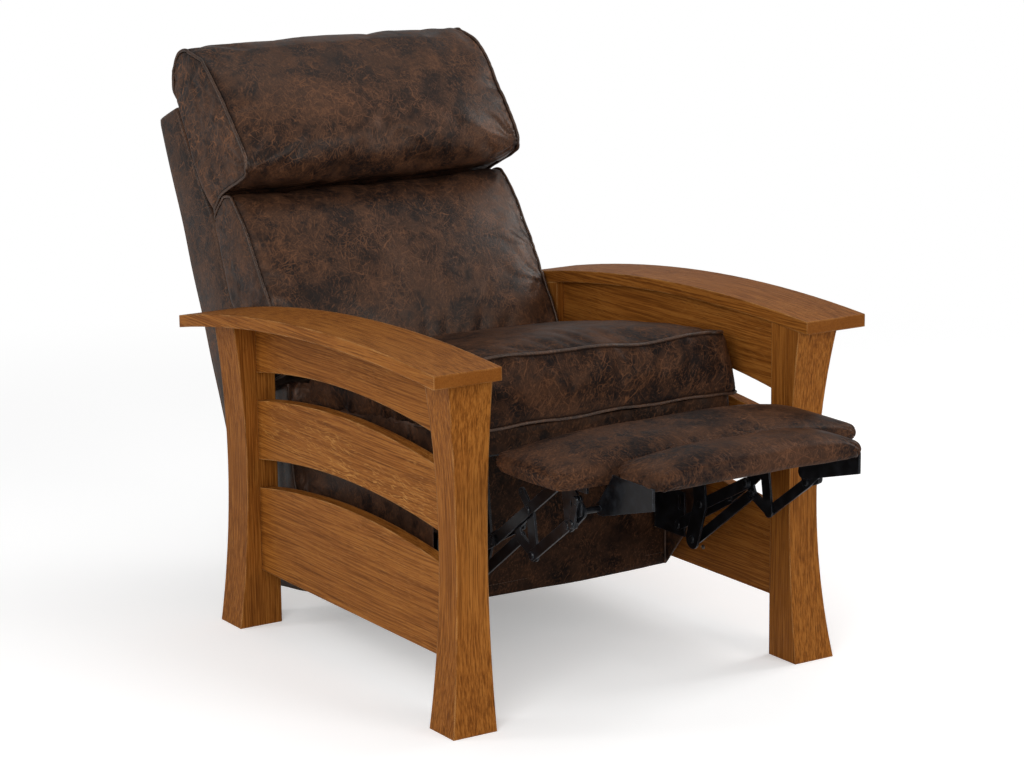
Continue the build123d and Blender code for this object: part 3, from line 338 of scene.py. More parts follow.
def seam_tree(paths):
    """Search tree over closed seam paths, with the run along its seam for each point."""
    spots, runs = [], []
    for path in paths:
        closed = np.vstack((path, path[:1]))
        count = max(8, int(np.linalg.norm(np.diff(closed, axis=0), axis=1).sum() / 0.003))
        fine = smooth_line(closed, count, rounds=1)
        run = np.concatenate(((0,), np.cumsum(np.linalg.norm(np.diff(fine, axis=0), axis=1))))
        spots.extend(fine)
        runs.extend(run)
    tree = kdtree.KDTree(len(spots))
    for index, spot in enumerate(spots):
        tree.insert(spot, index)
    tree.balance()
    return tree, runs


def mark_painted_seam_shade(piece, away, reach=0.0070):
    """Notes how near each point lies to a seam, for the painted shade that darkens the crease beside it."""
    mask = piece.data.attributes.get("seam") or piece.data.attributes.new("seam", "FLOAT", "POINT")
    mask.data.foreach_set("value", np.exp(-((np.asarray(away) / reach) ** 2)).astype(np.float32))


def gather(piece, paths, seed, depth=0.0014, reach=0.022, pitch=0.019, crease=0.0022):
    """Small puckers that run off the seams, and a crease along each seam; it also marks the points near each
    seam for the painted seam shade.
    """
    tree, runs = seam_tree(paths)
    points = coordinates(piece.data)
    found = [tree.find(point) for point in points]
    away = np.array([item[2] for item in found])
    run = np.array([runs[item[1]] for item in found])
    patch = 0.5 + 0.5 * ripple(points, 0.16, seed)
    wave = np.sin(2 * math.pi * run / pitch + 2.2 * ripple(points, 0.09, seed + 1))
    fold = depth * np.clip(patch, 0, 1.4) * wave * np.exp(-away / reach) * ease(away / 0.004)
    fold -= crease * np.exp(-away / 0.0055)
    # the seam attribute carries painted shade for the crease beside each seam
    mark_painted_seam_shade(piece, away)
    set_coordinates(piece.data, points + directions(piece.data) * fold[:, None])


def fan(piece, apex, first, second, turns, reach, depth, sector=(0, 90), seed=0):
    """Pleats that fan out from one corner, between two directions on the surface."""
    points = coordinates(piece.data)
    apex = np.asarray(apex)
    first = np.asarray(first, float) / np.linalg.norm(first)
    second = np.asarray(second, float) / np.linalg.norm(second)
    off = points - apex
    a, b = off @ first, off @ second
    radius = np.sqrt(a * a + b * b)
    lift = np.abs(off @ np.cross(first, second))
    angle = np.degrees(np.arctan2(b, a))
    low, high = sector
    inside = ease((angle - low) / 12 + 0.5) * ease((high - angle) / 12 + 0.5)
    near = ease(radius / (0.22 * reach)) * np.exp(-((radius / reach) ** 2)) * ease((reach - lift) / reach)
    turn = (angle - low) / (high - low) * math.pi * turns + 0.7 * ripple(points, reach, seed)
    ridge = 1 - 1.7 * np.abs(np.cos(turn)) ** 5
    fold = depth * ridge * inside * near
    set_coordinates(piece.data, points + directions(piece.data) * fold[:, None])


def soften(piece, seed, depth, length):
    """Low random unevenness of a hand-filled piece."""
    points = coordinates(piece.data)
    fold = depth * ripple(points, length, seed)
    set_coordinates(piece.data, points + directions(piece.data) * fold[:, None])


# Geometry Nodes

def socket_ids(tree):
    """Identifier of each named input of a node tree."""
    return {
        item.name: item.identifier
        for item in tree.interface.items_tree
        if item.item_type == "SOCKET" and item.in_out == "INPUT"
    }


def put(tree, kind, inputs=None, **settings):
    """Adds a node; inputs are values or sockets, by name or by number."""
    node = tree.nodes.new(kind)
    node.location = (190 * (len(tree.nodes) % 12), -240 * (len(tree.nodes) // 12))
    for name, value in settings.items():
        setattr(node, name, value)
    for key, value in (inputs or {}).items():
        if isinstance(value, bpy.types.NodeSocket):
            tree.links.new(value, node.inputs[key])
        else:
            node.inputs[key].default_value = value
    return node


def tree_inputs(tree, sockets):
    """Declares inputs as (name, socket type, default)."""
    for name, kind, default in sockets:
        socket = tree.interface.new_socket(name=name, in_out="INPUT", socket_type=kind)
        if default is not None:
            socket.default_value = default


def geometry_tree(name, sockets):
    """A Geometry Nodes tree with a geometry in, a geometry out and named inputs."""
    tree = bpy.data.node_groups.new(name, "GeometryNodeTree")
    tree.interface.new_socket(name="Geometry", in_out="INPUT", socket_type="NodeSocketGeometry")
    tree_inputs(tree, sockets)
    tree.interface.new_socket(name="Geometry", in_out="OUTPUT", socket_type="NodeSocketGeometry")
    entry = tree.nodes.new("NodeGroupInput")
    leave = tree.nodes.new("NodeGroupOutput")
    leave.location = (2400, 0)
    return tree, entry.outputs, leave.inputs[0]


def close_tree(tree, shape, material, leave):
    """Ends a tree in Realize Instances and Set Material."""
    real = put(tree, "GeometryNodeRealizeInstances", {"Geometry": shape})
    done = put(tree, "GeometryNodeSetMaterial", {"Geometry": real.outputs[0], "Material": material})
    tree.links.new(done.outputs[0], leave)


def welt_tree():
    """A round cord along every line of the mesh."""
    tree, given, leave = geometry_tree("Welt cord", [
        ("Radius", "NodeSocketFloat", 0.003),
        ("Step", "NodeSocketFloat", CORD_STEP),
        ("Sides", "NodeSocketInt", CORD_SIDES),
        ("Material", "NodeSocketMaterial", None),
    ])
    line = put(tree, "GeometryNodeMeshToCurve", {"Mesh": given["Geometry"]})
    bent = put(tree, "GeometryNodeCurveSplineType", {"Curve": line.outputs[0]}, spline_type="CATMULL_ROM")
    even = put(tree, "GeometryNodeResampleCurve", {
        "Curve": bent.outputs[0], "Length": given["Step"],
    }, mode="LENGTH")
    ring = put(tree, "GeometryNodeCurvePrimitiveCircle", {
        "Resolution": given["Sides"], "Radius": given["Radius"],
    })
    cord = put(tree, "GeometryNodeCurveToMesh", {
        "Curve": even.outputs[0], "Profile Curve": ring.outputs[0], "Fill Caps": True,
    })
    round_off = put(tree, "GeometryNodeSetShadeSmooth", {"Geometry": cord.outputs[0]})
    close_tree(tree, round_off.outputs[0], given["Material"], leave)
    return tree


def stitch_tree():
    """Short stitches laid end to end along every line of the mesh."""
    tree, given, leave = geometry_tree("Stitch row", [
        ("Pitch", "NodeSocketFloat", 0.006),
        ("Stitch length", "NodeSocketFloat", 0.0042),
        ("Thread radius", "NodeSocketFloat", 0.0005),
        ("Material", "NodeSocketMaterial", None),
    ])
    line = put(tree, "GeometryNodeMeshToCurve", {"Mesh": given["Geometry"]})
    dots = put(tree, "GeometryNodeCurveToPoints", {
        "Curve": line.outputs[0], "Length": given["Pitch"],
    }, mode="LENGTH")
    thread = put(tree, "GeometryNodeMeshCylinder", {
        "Vertices": 6, "Radius": given["Thread radius"], "Depth": given["Stitch length"],
    })
    turned = put(tree, "FunctionNodeAlignRotationToVector", {"Vector": dots.outputs["Tangent"]}, axis="Z")
    row = put(tree, "GeometryNodeInstanceOnPoints", {
        "Points": dots.outputs["Points"], "Instance": thread.outputs["Mesh"],
        "Rotation": turned.outputs[0],
    })
    close_tree(tree, row.outputs[0], given["Material"], leave)
    return tree


def fastener_tree():
    """A screw head on every point of the mesh, all facing one way."""
    tree, given, leave = geometry_tree("Fastener row", [
        ("Head", "NodeSocketObject", None),
        ("Size", "NodeSocketFloat", 1.0),
        ("Facing", "NodeSocketVector", (0.0, 0.0, 1.0)),
        ("Turn seed", "NodeSocketInt", 3),
        ("Material", "NodeSocketMaterial", None),
    ])
    dots = put(tree, "GeometryNodeMeshToPoints", {"Mesh": given["Geometry"]})
    head = put(tree, "GeometryNodeObjectInfo", {"Object": given["Head"]})
    turned = put(tree, "FunctionNodeAlignRotationToVector", {"Vector": given["Facing"]}, axis="Z")
    spin = put(tree, "FunctionNodeRandomValue", {"Seed": given["Turn seed"]}, data_type="FLOAT")
    angle = put(tree, "ShaderNodeMath", {0: spin.outputs[1], 1: 2 * math.pi}, operation="MULTIPLY")
    about = put(tree, "FunctionNodeAxisAngleToRotation", {"Angle": angle.outputs[0]})
    both = put(tree, "FunctionNodeRotateRotation", {
        "Rotation": turned.outputs[0], "Rotate By": about.outputs[0],
    }, rotation_space="LOCAL")
    row = put(tree, "GeometryNodeInstanceOnPoints", {
        "Points": dots.outputs[0], "Instance": head.outputs["Geometry"],
        "Rotation": both.outputs[0], "Scale": given["Size"],
    })
    close_tree(tree, row.outputs[0], given["Material"], leave)
    return tree


TREES = {}


def grow(piece, maker, values):
    """Runs a Geometry Nodes tree on a piece with values by input name, and keeps the mesh."""
    if maker.__name__ not in TREES:
        TREES[maker.__name__] = maker()
    tree = TREES[maker.__name__]
    step = piece.modifiers.new(tree.name, "NODES")
    step.node_group = tree
    names = socket_ids(tree)
    for name, value in values.items():
        step[names[name]] = value
    return bake_modifiers(piece)


def welt(name, paths, radius, material, body, slot):
    """Sewn-in piping along closed or open paths of points; a path is (points, closed)."""
    points, edges = [], []
    for path, closed in paths:
        start = len(points)
        points.extend(path)
        count = len(path)
        edges.extend((start + n, start + n + 1) for n in range(count - 1))
        if closed:
            edges.append((start + count - 1, start))
    piece = new_piece(name, points, [], edges)
    grow(piece, welt_tree, {
        "Radius": radius, "Step": CORD_STEP, "Sides": CORD_SIDES, "Material": material,
    })
    return dress(piece, body, slot, material)


def raised(piece, indices, amount):
    """Places just outside some of a piece's vertices."""
    points, normals = coordinates(piece.data), directions(piece.data)
    return points[indices] + normals[indices] * amount


# Materials

def shader_group(name, inputs, outputs):
    """A shader node group with named inputs and outputs."""
    tree = bpy.data.node_groups.new(name, "ShaderNodeTree")
    tree_inputs(tree, inputs)
    for label, kind in outputs:
        tree.interface.new_socket(name=label, in_out="OUTPUT", socket_type=kind)
    entry = tree.nodes.new("NodeGroupInput")
    leave = tree.nodes.new("NodeGroupOutput")
    leave.location = (2400, 0)
    return tree, entry.outputs, leave.inputs


def times(tree, vector, factors):
    """A vector stretched by factors."""
    node = put(tree, "ShaderNodeVectorMath", {0: vector, 1: factors}, operation="MULTIPLY")
    return node.outputs[0]


def noise(tree, vector, scale=1.0, detail=4.0, roughness=0.55, distortion=0.0):
    """Noise value at a vector."""
    node = put(tree, "ShaderNodeTexNoise", {
        "Vector": vector, "Scale": scale, "Detail": detail,
        "Roughness": roughness, "Distortion": distortion,
    })
    return node.outputs["Fac"]


def remap(tree, value, low, high, to_low=0.0, to_high=1.0, smooth=False):
    """A value moved from one range to another and clamped."""
    node = put(tree, "ShaderNodeMapRange", {
        "Value": value, "From Min": low, "From Max": high, "To Min": to_low, "To Max": to_high,
    })
    if smooth:
        node.interpolation_type = "SMOOTHSTEP"
    return node.outputs[0]


def math_of(tree, operation, first, second=0.0, third=0.0, clamp=False):
    """One operation on up to three values."""
    node = put(tree, "ShaderNodeMath", {0: first, 1: second, 2: third}, operation=operation, use_clamp=clamp)
    return node.outputs[0]


def moved(tree, vector, place, turn=(0, 0, 0)):
    """A vector moved and turned."""
    node = put(tree, "ShaderNodeMapping", {"Vector": vector, "Location": place, "Rotation": turn})
    return node.outputs[0]


def give(tree, sockets, **values):
    """Links values to sockets by name."""
    for name, value in values.items():
        tree.links.new(value, sockets[name.replace("_", " ")])
    return tree


def blend_colours(tree, factor, first, second):
    """Two colours mixed by a factor."""
    node = tree.nodes.new("ShaderNodeMix")
    node.data_type = "RGBA"
    for key, value in ((0, factor), (6, first), (7, second)):
        if isinstance(value, bpy.types.NodeSocket):
            tree.links.new(value, node.inputs[key])
        else:
            node.inputs[key].default_value = value
    return node.outputs[2]


def ridge_of(tree, value):
    """1 where a noise value crosses its middle, falling off to both sides."""
    centred = math_of(tree, "MULTIPLY_ADD", value, 2.0, -1.0)
    return math_of(tree, "SUBTRACT", 1.0, math_of(tree, "ABSOLUTE", centred))


def oak_group():
    """Quartersawn oak, its grain along the incoming vector's X."""
    tree, given, out = shader_group("Quartersawn oak", [
        ("Vector", "NodeSocketVector", (0.0, 0.0, 0.0)),
        ("Light", "NodeSocketColor", (0.40, 0.17, 0.05, 1)),
        ("Mid", "NodeSocketColor", (0.27, 0.10, 0.025, 1)),
        ("Dark", "NodeSocketColor", (0.13, 0.045, 0.013, 1)),
        ("Flecks", "NodeSocketFloat", 1.0),
        ("End grain", "NodeSocketFloat", 0.0),
    ], [("Color", "NodeSocketColor"), ("Roughness", "NodeSocketFloat"), ("Height", "NodeSocketFloat")])
    vector = given["Vector"]
    drift = put(tree, "ShaderNodeTexNoise", {"Vector": vector, "Scale": 3.2, "Detail": 2.0})
    bent = put(tree, "ShaderNodeVectorMath", {0: drift.outputs["Color"], 1: (0.012, 0.012, 0.012), 2: vector},
               operation="MULTIPLY_ADD").outputs[0]
    broad = noise(tree, times(tree, bent, (1.1, 13.0, 13.0)), detail=3.0)
    bands = noise(tree, times(tree, bent, (2.4, 210.0, 210.0)), detail=4.0, roughness=0.7)
    fibres = noise(tree, times(tree, bent, (4.5, 400.0, 400.0)), detail=3.0, roughness=0.75)
    pores = noise(tree, times(tree, bent, (42.0, 520.0, 520.0)), detail=1.0)
    tone = math_of(tree, "MULTIPLY_ADD", bands, 0.5, math_of(tree, "MULTIPLY", broad, 0.5))
    colour = blend_colours(tree, remap(tree, tone, 0.34, 0.50, smooth=True), given["Dark"], given["Mid"])
    colour = blend_colours(tree, 0.62, colour, given["Mid"])
    colour = blend_colours(tree, remap(tree, tone, 0.48, 0.66, 0.0, 0.5, smooth=True), colour, given["Light"])
    line = remap(tree, fibres, 0.38, 0.62)
    colour = blend_colours(tree, remap(tree, line, 0.0, 0.5, 0.72, 0.0), colour, given["Dark"])
    colour = blend_colours(tree, remap(tree, line, 0.5, 1.0, 0.0, 0.66), colour, given["Light"])
    pore = remap(tree, pores, 0.38, 0.26)
    colour = blend_colours(tree, math_of(tree, "MULTIPLY", pore, 0.45), colour, given["Dark"])
    patch = remap(tree, noise(tree, times(tree, vector, (5.0, 13.0, 13.0)), detail=3.0), 0.40, 0.60)
    fleck = None
    for slant, along, across in ((0.11, 24.0, 340.0), (-0.16, 32.0, 400.0), (0.34, 44.0, 380.0)):
        slanted = moved(tree, bent, (slant, 3 * slant, 5 * slant), (0.0, slant, 0.0))
        ray = remap(tree, noise(tree, times(tree, slanted, (along, across, across)), detail=1.0), 0.62, 0.70)
        fleck = ray if fleck is None else math_of(tree, "MAXIMUM", fleck, ray)
    fleck = math_of(tree, "MULTIPLY", math_of(tree, "MULTIPLY", fleck, patch), given["Flecks"])
    side = math_of(tree, "SUBTRACT", 1.0, given["End grain"])
    fleck = math_of(tree, "MULTIPLY", fleck, side, clamp=True)
    bright = blend_colours(tree, 0.45, given["Light"], (0.72, 0.37, 0.10, 1))
    colour = blend_colours(tree, math_of(tree, "MULTIPLY", fleck, 0.75), colour, bright)
    dark_end = blend_colours(tree, 0.6, given["Dark"], given["Mid"])
    specks = noise(tree, times(tree, vector, (900.0, 900.0, 900.0)), detail=1.0)
    dark_end = blend_colours(tree, remap(tree, specks, 0.5, 0.68, 0.0, 0.5), dark_end, given["Dark"])
    colour = blend_colours(tree, math_of(tree, "MULTIPLY", given["End grain"], 0.75), colour, dark_end)
    rough = remap(tree, fibres, 0.3, 0.7, 0.52, 0.40)
    rough = math_of(tree, "SUBTRACT", rough, math_of(tree, "MULTIPLY", fleck, 0.1))
    raised_line, sunk_pore = math_of(tree, "MULTIPLY", line, 0.5), math_of(tree, "MULTIPLY", pore, 0.9)
    height = math_of(tree, "SUBTRACT", raised_line, sunk_pore)
    return give(tree, out, Color=colour, Roughness=rough, Height=height)


def leather_group():
    """Distressed pull-up leather: cloudy dye, hair-thin scratches, fine grain and painted shade beside the
    seams.
    """
    tree, given, out = shader_group("Distressed leather", [
        ("Vector", "NodeSocketVector", (0.0, 0.0, 0.0)),
        ("Brown", "NodeSocketColor", (0.050, 0.027, 0.017, 1)),
        ("Charcoal", "NodeSocketColor", (0.024, 0.018, 0.015, 1)),
        ("Rust", "NodeSocketColor", (0.16, 0.066, 0.030, 1)),
        ("Veins", "NodeSocketFloat", 1.0),
        ("Rub", "NodeSocketFloat", 0.0),
        ("Seam", "NodeSocketFloat", 0.0),
    ], [("Color", "NodeSocketColor"), ("Roughness", "NodeSocketFloat"), ("Height", "NodeSocketFloat")])
    vector = given["Vector"]

    def drifted(scale, amount):
        drift = put(tree, "ShaderNodeTexNoise", {"Vector": vector, "Scale": scale, "Detail": 2.0})
        return put(tree, "ShaderNodeVectorMath", {0: drift.outputs["Color"], 1: (amount,) * 3, 2: vector},
                   operation="MULTIPLY_ADD").outputs[0]

    bent, wavered = drifted(16.0, 0.03), drifted(42.0, 0.010)
    clouds = noise(tree, bent, 9.0, 4.0, 0.6)
    mottle = noise(tree, bent, 33.0, 5.0, 0.6)
    tone = math_of(tree, "MULTIPLY_ADD", clouds, 0.55, math_of(tree, "MULTIPLY", mottle, 0.45))
    pale = remap(tree, tone, 0.445, 0.555, smooth=True)
    colour = blend_colours(tree, pale, given["Charcoal"], given["Brown"])
    warm = remap(tree, noise(tree, bent, 15.0, 4.0, 0.6), 0.47, 0.66, smooth=True)
    colour = blend_colours(tree, math_of(tree, "MULTIPLY", warm, 0.16), colour, given["Rust"])
    fine = remap(tree, noise(tree, wavered, 170.0, 3.0, 0.6), 0.32, 0.68, 0.0, 0.34)
    colour = blend_colours(tree, fine, colour, given["Charcoal"])
    veins = None
    for turn, scale, width, low, weight in (
        (0.4, 27.0, 0.00030, 0.48, 0.9), (1.5, 41.0, 0.00028, 0.48, 0.9), (2.7, 55.0, 0.00026, 0.48, 0.8),
        (4.1, 80.0, 0.00024, 0.47, 0.7), (5.2, 33.0, 0.00030, 0.50, 1.0), (3.3, 66.0, 0.00026, 0.48, 0.8),
    ):
        turned = moved(tree, wavered, (turn, 2 * turn, 3 * turn), (turn, turn * 0.7, turn * 1.3))
        stretched = times(tree, turned, (0.30, 1.0, 1.0))
        cells = put(tree, "ShaderNodeTexVoronoi", {
            "Vector": stretched, "Scale": scale,
        }, feature="DISTANCE_TO_EDGE")
        line = remap(tree, cells.outputs["Distance"], width * scale * 0.4, width * scale * 2.8, weight, 0.0)
        gate = remap(tree, noise(tree, turned, 26.0, 4.0, 0.7), low, low + 0.16)
        line = math_of(tree, "MULTIPLY", line, gate)
        veins = line if veins is None else math_of(tree, "MAXIMUM", veins, line)
    hairs = None
    for turn in (0.9, 2.1, 3.7, 5.0):
        turned = moved(tree, wavered, (turn, 2 * turn, 3 * turn), (turn * 1.2, turn * 0.6, turn))
        strands = noise(tree, times(tree, turned, (34.0, 270.0, 270.0)), detail=2.0, roughness=0.6)
        gate = remap(tree, noise(tree, turned, 19.0, 3.0, 0.6), 0.47, 0.60)
        strand = math_of(tree, "MULTIPLY", remap(tree, strands, 0.53, 0.68, smooth=True), gate)
        hairs = strand if hairs is None else math_of(tree, "MAXIMUM", hairs, strand)
    spread = remap(tree, noise(tree, vector, 10.0, 3.0, 0.55), 0.38, 0.62, 0.30, 1.0)
    veins = math_of(tree, "MULTIPLY", veins, math_of(tree, "MULTIPLY", spread, given["Veins"]))
    colour = blend_colours(tree, math_of(tree, "MULTIPLY", hairs, 0.36, clamp=True), colour, given["Rust"])
    colour = blend_colours(tree, math_of(tree, "MULTIPLY", veins, 0.75, clamp=True), colour, given["Rust"])
    colour = blend_colours(tree, math_of(tree, "MULTIPLY", given["Rub"], 0.5), colour, given["Rust"])
    # Painted shade: near black in the crease beside each seam, from the seam attribute.
    colour = blend_colours(tree, math_of(tree, "MULTIPLY", given["Seam"], 0.85, clamp=True), colour,
                           (0.004, 0.003, 0.003, 1))
    cells = put(tree, "ShaderNodeTexVoronoi", {"Vector": vector, "Scale": 620.0}, feature="SMOOTH_F1")
    cells.inputs["Smoothness"].default_value = 0.35
    grain = math_of(tree, "MULTIPLY", cells.outputs["Distance"], 0.55)
    creases = remap(tree, ridge_of(tree, noise(tree, bent, 90.0, 3.0, 0.5, 0.4)), 0.9, 1.0)
    worn = math_of(tree, "SUBTRACT", grain, math_of(tree, "MULTIPLY", creases, 0.35))
    height = math_of(tree, "MULTIPLY_ADD", mottle, 0.6, worn)
    rough = remap(tree, mottle, 0.35, 0.65, 0.34, 0.46)
    rough = math_of(tree, "ADD", rough, math_of(tree, "MULTIPLY", veins, 0.12))
    return give(tree, out, Color=colour, Roughness=rough, Height=height)


def edge_group():
    """Rounded edge normal, and a mask of the edges: rubbed wear on the wood, a painted glint on the steel."""
    tree, given, out = shader_group("Edge wear", [
        ("Vector", "NodeSocketVector", (0.0, 0.0, 0.0)),
        ("Radius", "NodeSocketFloat", 0.002),
        ("Unevenness", "NodeSocketFloat", 60.0),
    ], [("Mask", "NodeSocketFloat"), ("Normal", "NodeSocketVector")])
    bevel = put(tree, "ShaderNodeBevel", {"Radius": given["Radius"]}, samples=4)
    flat = put(tree, "ShaderNodeNewGeometry").outputs["Normal"]
    along = put(tree, "ShaderNodeVectorMath", {0: bevel.outputs[0], 1: flat}, operation="DOT_PRODUCT")
    rim = remap(tree, along.outputs["Value"], 0.985, 0.80)
    broken = remap(tree, noise(tree, given["Vector"], given["Unevenness"], 3.0), 0.35, 0.65)
    return give(tree, out, Mask=math_of(tree, "MULTIPLY", rim, broken), Normal=bevel.outputs[0])


def weave_group():
    """Plain weave of warp and weft along the incoming X and Y."""
    tree, given, out = shader_group("Plain weave", [
        ("Vector", "NodeSocketVector", (0.0, 0.0, 0.0)),
        ("Threads", "NodeSocketFloat", 700.0),
        ("Thread", "NodeSocketColor", (0.2, 0.15, 0.1, 1)),
        ("Gap", "NodeSocketColor", (0.05, 0.04, 0.03, 1)),
    ], [("Color", "NodeSocketColor"), ("Height", "NodeSocketFloat")])
    split = put(tree, "ShaderNodeSeparateXYZ", {0: given["Vector"]})
    waves = []
    for axis in (0, 1):
        angle = math_of(tree, "MULTIPLY", split.outputs[axis], given["Threads"])
        waves.append(math_of(tree, "SINE", angle))
    height = math_of(tree, "MULTIPLY", waves[0], waves[1])
    uneven = noise(tree, given["Vector"], 40.0, 3.0)
    colour = blend_colours(tree, remap(tree, height, -0.9, 0.6), given["Gap"], given["Thread"])
    colour = blend_colours(tree, remap(tree, uneven, 0.3, 0.7, 0.0, 0.35), colour, given["Gap"])
    return give(tree, out, Color=colour, Height=height)


GROUPS = {}


def group(tree, maker, inputs):
    """Places a shader group, built once, in a material."""
    if maker.__name__ not in GROUPS:
        GROUPS[maker.__name__] = maker()
    node = tree.nodes.new("ShaderNodeGroup")
    node.node_tree = GROUPS[maker.__name__]
    for key, value in inputs.items():
        if isinstance(value, bpy.types.NodeSocket):
            tree.links.new(value, node.inputs[key])
        else:
            node.inputs[key].default_value = value
    return node.outputs


def bare_material(name, **values):
    """A material with one Principled shader and plain values on its sockets."""
    material = bpy.data.materials.new(name)
    material.use_nodes = True
    tree = material.node_tree
    shader = tree.nodes["Principled BSDF"]
    for key, value in values.items():
        shader.inputs[key.replace("_", " ")].default_value = value
    place = tree.nodes.new("ShaderNodeTexCoord")
    return material, tree, shader, place.outputs


def bump(tree, shader, height, distance, strength=1.0, normal=None):
    """Relief in the shader's normal."""
    node = put(tree, "ShaderNodeBump", {"Height": height, "Distance": distance, "Strength": strength})
    if normal is not None:
        tree.links.new(normal, node.inputs["Normal"])
    tree.links.new(node.outputs[0], shader.inputs["Normal"])


def oak(name, along, colours, flecks, seed):
    """Oak with its grain along Y or Z."""
    material, tree, shader, place = bare_material(
        name, Specular_IOR_Level=0.09, Specular_Tint=(1.0, 0.72, 0.45, 1))
    turn = (0, 0, -math.pi / 2) if along == "Y" else (0, math.pi / 2, 0)
    axis = (0, 1, 0) if along == "Y" else (0, 0, 1)
    vector = moved(tree, place["Object"], (seed, 0.37 * seed, 0.61 * seed), turn)
    facing = put(tree, "ShaderNodeVectorMath", {0: place["Normal"], 1: axis}, operation="DOT_PRODUCT")
    end = remap(tree, math_of(tree, "ABSOLUTE", facing.outputs["Value"]), 0.75, 0.95)
    wear = group(tree, edge_group, {"Vector": place["Object"], "Radius": 0.0040, "Unevenness": 22.0})
    wood = group(tree, oak_group, {
        "Vector": vector, "Light": colours.oak_light, "Mid": colours.oak_mid, "Dark": colours.oak_dark,
        "Flecks": flecks, "End grain": end,
    })
    rubbed = blend_colours(tree, math_of(tree, "MULTIPLY", wear["Mask"], 0.85), wood["Color"],
                           (0.62, 0.33, 0.12, 1))
    give(tree, shader.inputs, Base_Color=rubbed, Roughness=wood["Roughness"])
    bump(tree, shader, wood["Height"], 0.00035, 0.55, wear["Normal"])
    return material


def shaded(colour, share):
    """A colour made darker."""
    return (*(value * share for value in colour[:3]), 1)


def leather(name, colours, veins=1.0, place_shift=0.0, rub=0.0, shade=1.0, gloss=0.16):
    """Brown distressed leather."""
    material, tree, shader, place = bare_material(
        name, Specular_IOR_Level=gloss, Specular_Tint=(1.0, 0.86, 0.76, 1))
    vector = moved(tree, place["Object"], (place_shift, place_shift * 0.6, 0))
    ends = put(tree, "ShaderNodeAttribute", attribute_name="end").outputs["Fac"]
    more = math_of(tree, "MULTIPLY_ADD", ends, 1.1, veins)
    hide = group(tree, leather_group, {
        "Vector": vector, "Brown": shaded(colours.leather_brown, shade),
        "Charcoal": shaded(colours.leather_charcoal, shade),
        "Rust": shaded(colours.leather_rust, (1 + shade) / 2), "Veins": more, "Rub": rub,
        # The seam attribute carries the painted shade beside the seams.
        "Seam": put(tree, "ShaderNodeAttribute", attribute_name="seam").outputs["Fac"],
    })
    give(tree, shader.inputs, Base_Color=hide["Color"], Roughness=hide["Roughness"])
    bump(tree, shader, hide["Height"], 0.0005, 0.45)
    return material


def plate_steel(name, colour, edge, roughness, metallic):
    """Pressed steel with a lacquered face and brighter edges: partly worn metal, partly a painted glint."""
    material, tree, shader, place = bare_material(
        name, Metallic=metallic, Specular_IOR_Level=0.2, Coat_Weight=0.12, Coat_Roughness=0.1)
    wear = group(tree, edge_group, {"Vector": place["Object"], "Radius": 0.0007, "Unevenness": 120.0})
    cloud = noise(tree, place["Object"], 55.0, 4.0)
    scratch = noise(tree, times(tree, place["Object"], (40.0, 700.0, 500.0)), 1.0, 2.0)
    tone = blend_colours(tree, remap(tree, cloud, 0.45, 0.8, 0.0, 0.05), colour, edge)
    # Painted glint: the edge mask lightens the edges towards the edge colour, partly worn metal.
    tone = blend_colours(tree, math_of(tree, "MULTIPLY", wear["Mask"], 0.75), tone, edge)
    rough = remap(tree, cloud, 0.3, 0.7, roughness - 0.06, roughness + 0.08)
    give(tree, shader.inputs, Base_Color=tone, Roughness=rough)
    bump(tree, shader, scratch, 0.00008, 0.5, wear["Normal"])
    return material


def inner_wood(name, colour, dark):
    """Plain sawn hardwood and plywood of the hidden frame."""
    material, tree, shader, place = bare_material(name, Specular_IOR_Level=0.3)
    wear = group(tree, edge_group, {"Vector": place["Object"], "Radius": 0.001, "Unevenness": 60.0})
    lines = noise(tree, times(tree, place["Object"], (30.0, 8.0, 190.0)), 1.0, 4.0)
    saw = noise(tree, times(tree, place["Object"], (260.0, 30.0, 700.0)), 1.0, 2.0)
    tone = blend_colours(tree, remap(tree, lines, 0.35, 0.65), colour, dark)
    tone = blend_colours(tree, math_of(tree, "MULTIPLY", wear["Mask"], 0.3), tone, colour)
    give(tree, shader.inputs, Base_Color=tone, Roughness=remap(tree, saw, 0.3, 0.7, 0.6, 0.8))
    bump(tree, shader, saw, 0.0003, 0.6, wear["Normal"])
    return material


def woven(name, thread, gap, threads):
    """Woven strap or cloth."""
    material, tree, shader, place = bare_material(name, Specular_IOR_Level=0.2, Sheen_Weight=0.15)
    cloth = group(tree, weave_group, {
        "Vector": place["Object"], "Threads": threads, "Thread": thread, "Gap": gap,
    })
    fuzz = noise(tree, place["Object"], 300.0, 3.0)
    give(tree, shader.inputs, Base_Color=cloth["Color"], Roughness=remap(tree, fuzz, 0.3, 0.7, 0.75, 0.95))
    bump(tree, shader, cloth["Height"], 0.0004, 0.8)
    return material


# Sizes and colours that a user would change

def colour_property(name, description, default):
    """A colour setting."""
    return bpy.props.FloatVectorProperty(
        name=name, description=description, default=default, size=4, min=0, max=1, subtype="COLOR")


def length_property(name, description, default):
    """A length setting in metres."""
    return bpy.props.FloatProperty(
        name=name, description=description, default=default, min=0, precision=4,
        unit="LENGTH", subtype="DISTANCE")


class ReclinerSizes(bpy.types.PropertyGroup):
    """Sizes of the upholstery."""

    welt_radius: length_property("Welt radius", "Radius of the piping's cord", 0.0031)
    seat_crown: length_property("Seat crown", "Rise of the seat cushion's middle", 0.024)
    lumbar_crown: length_property("Lumbar crown", "Fullness of the lumbar pillow's middle", 0.022)
    head_crown: length_property("Head crown", "Fullness of the head pillow's middle", 0.013)
    pad_crown: length_property("Pad crown", "Rise of the footrest pads' middle", 0.006)
    pleat_depth: length_property("Pleat depth", "Depth of the gathered pleats at the corners", 0.0032)
    screw_size: bpy.props.FloatProperty(
        name="Screw size", description="Scale of the pan-head screws", default=1.0, min=0.1, max=3)


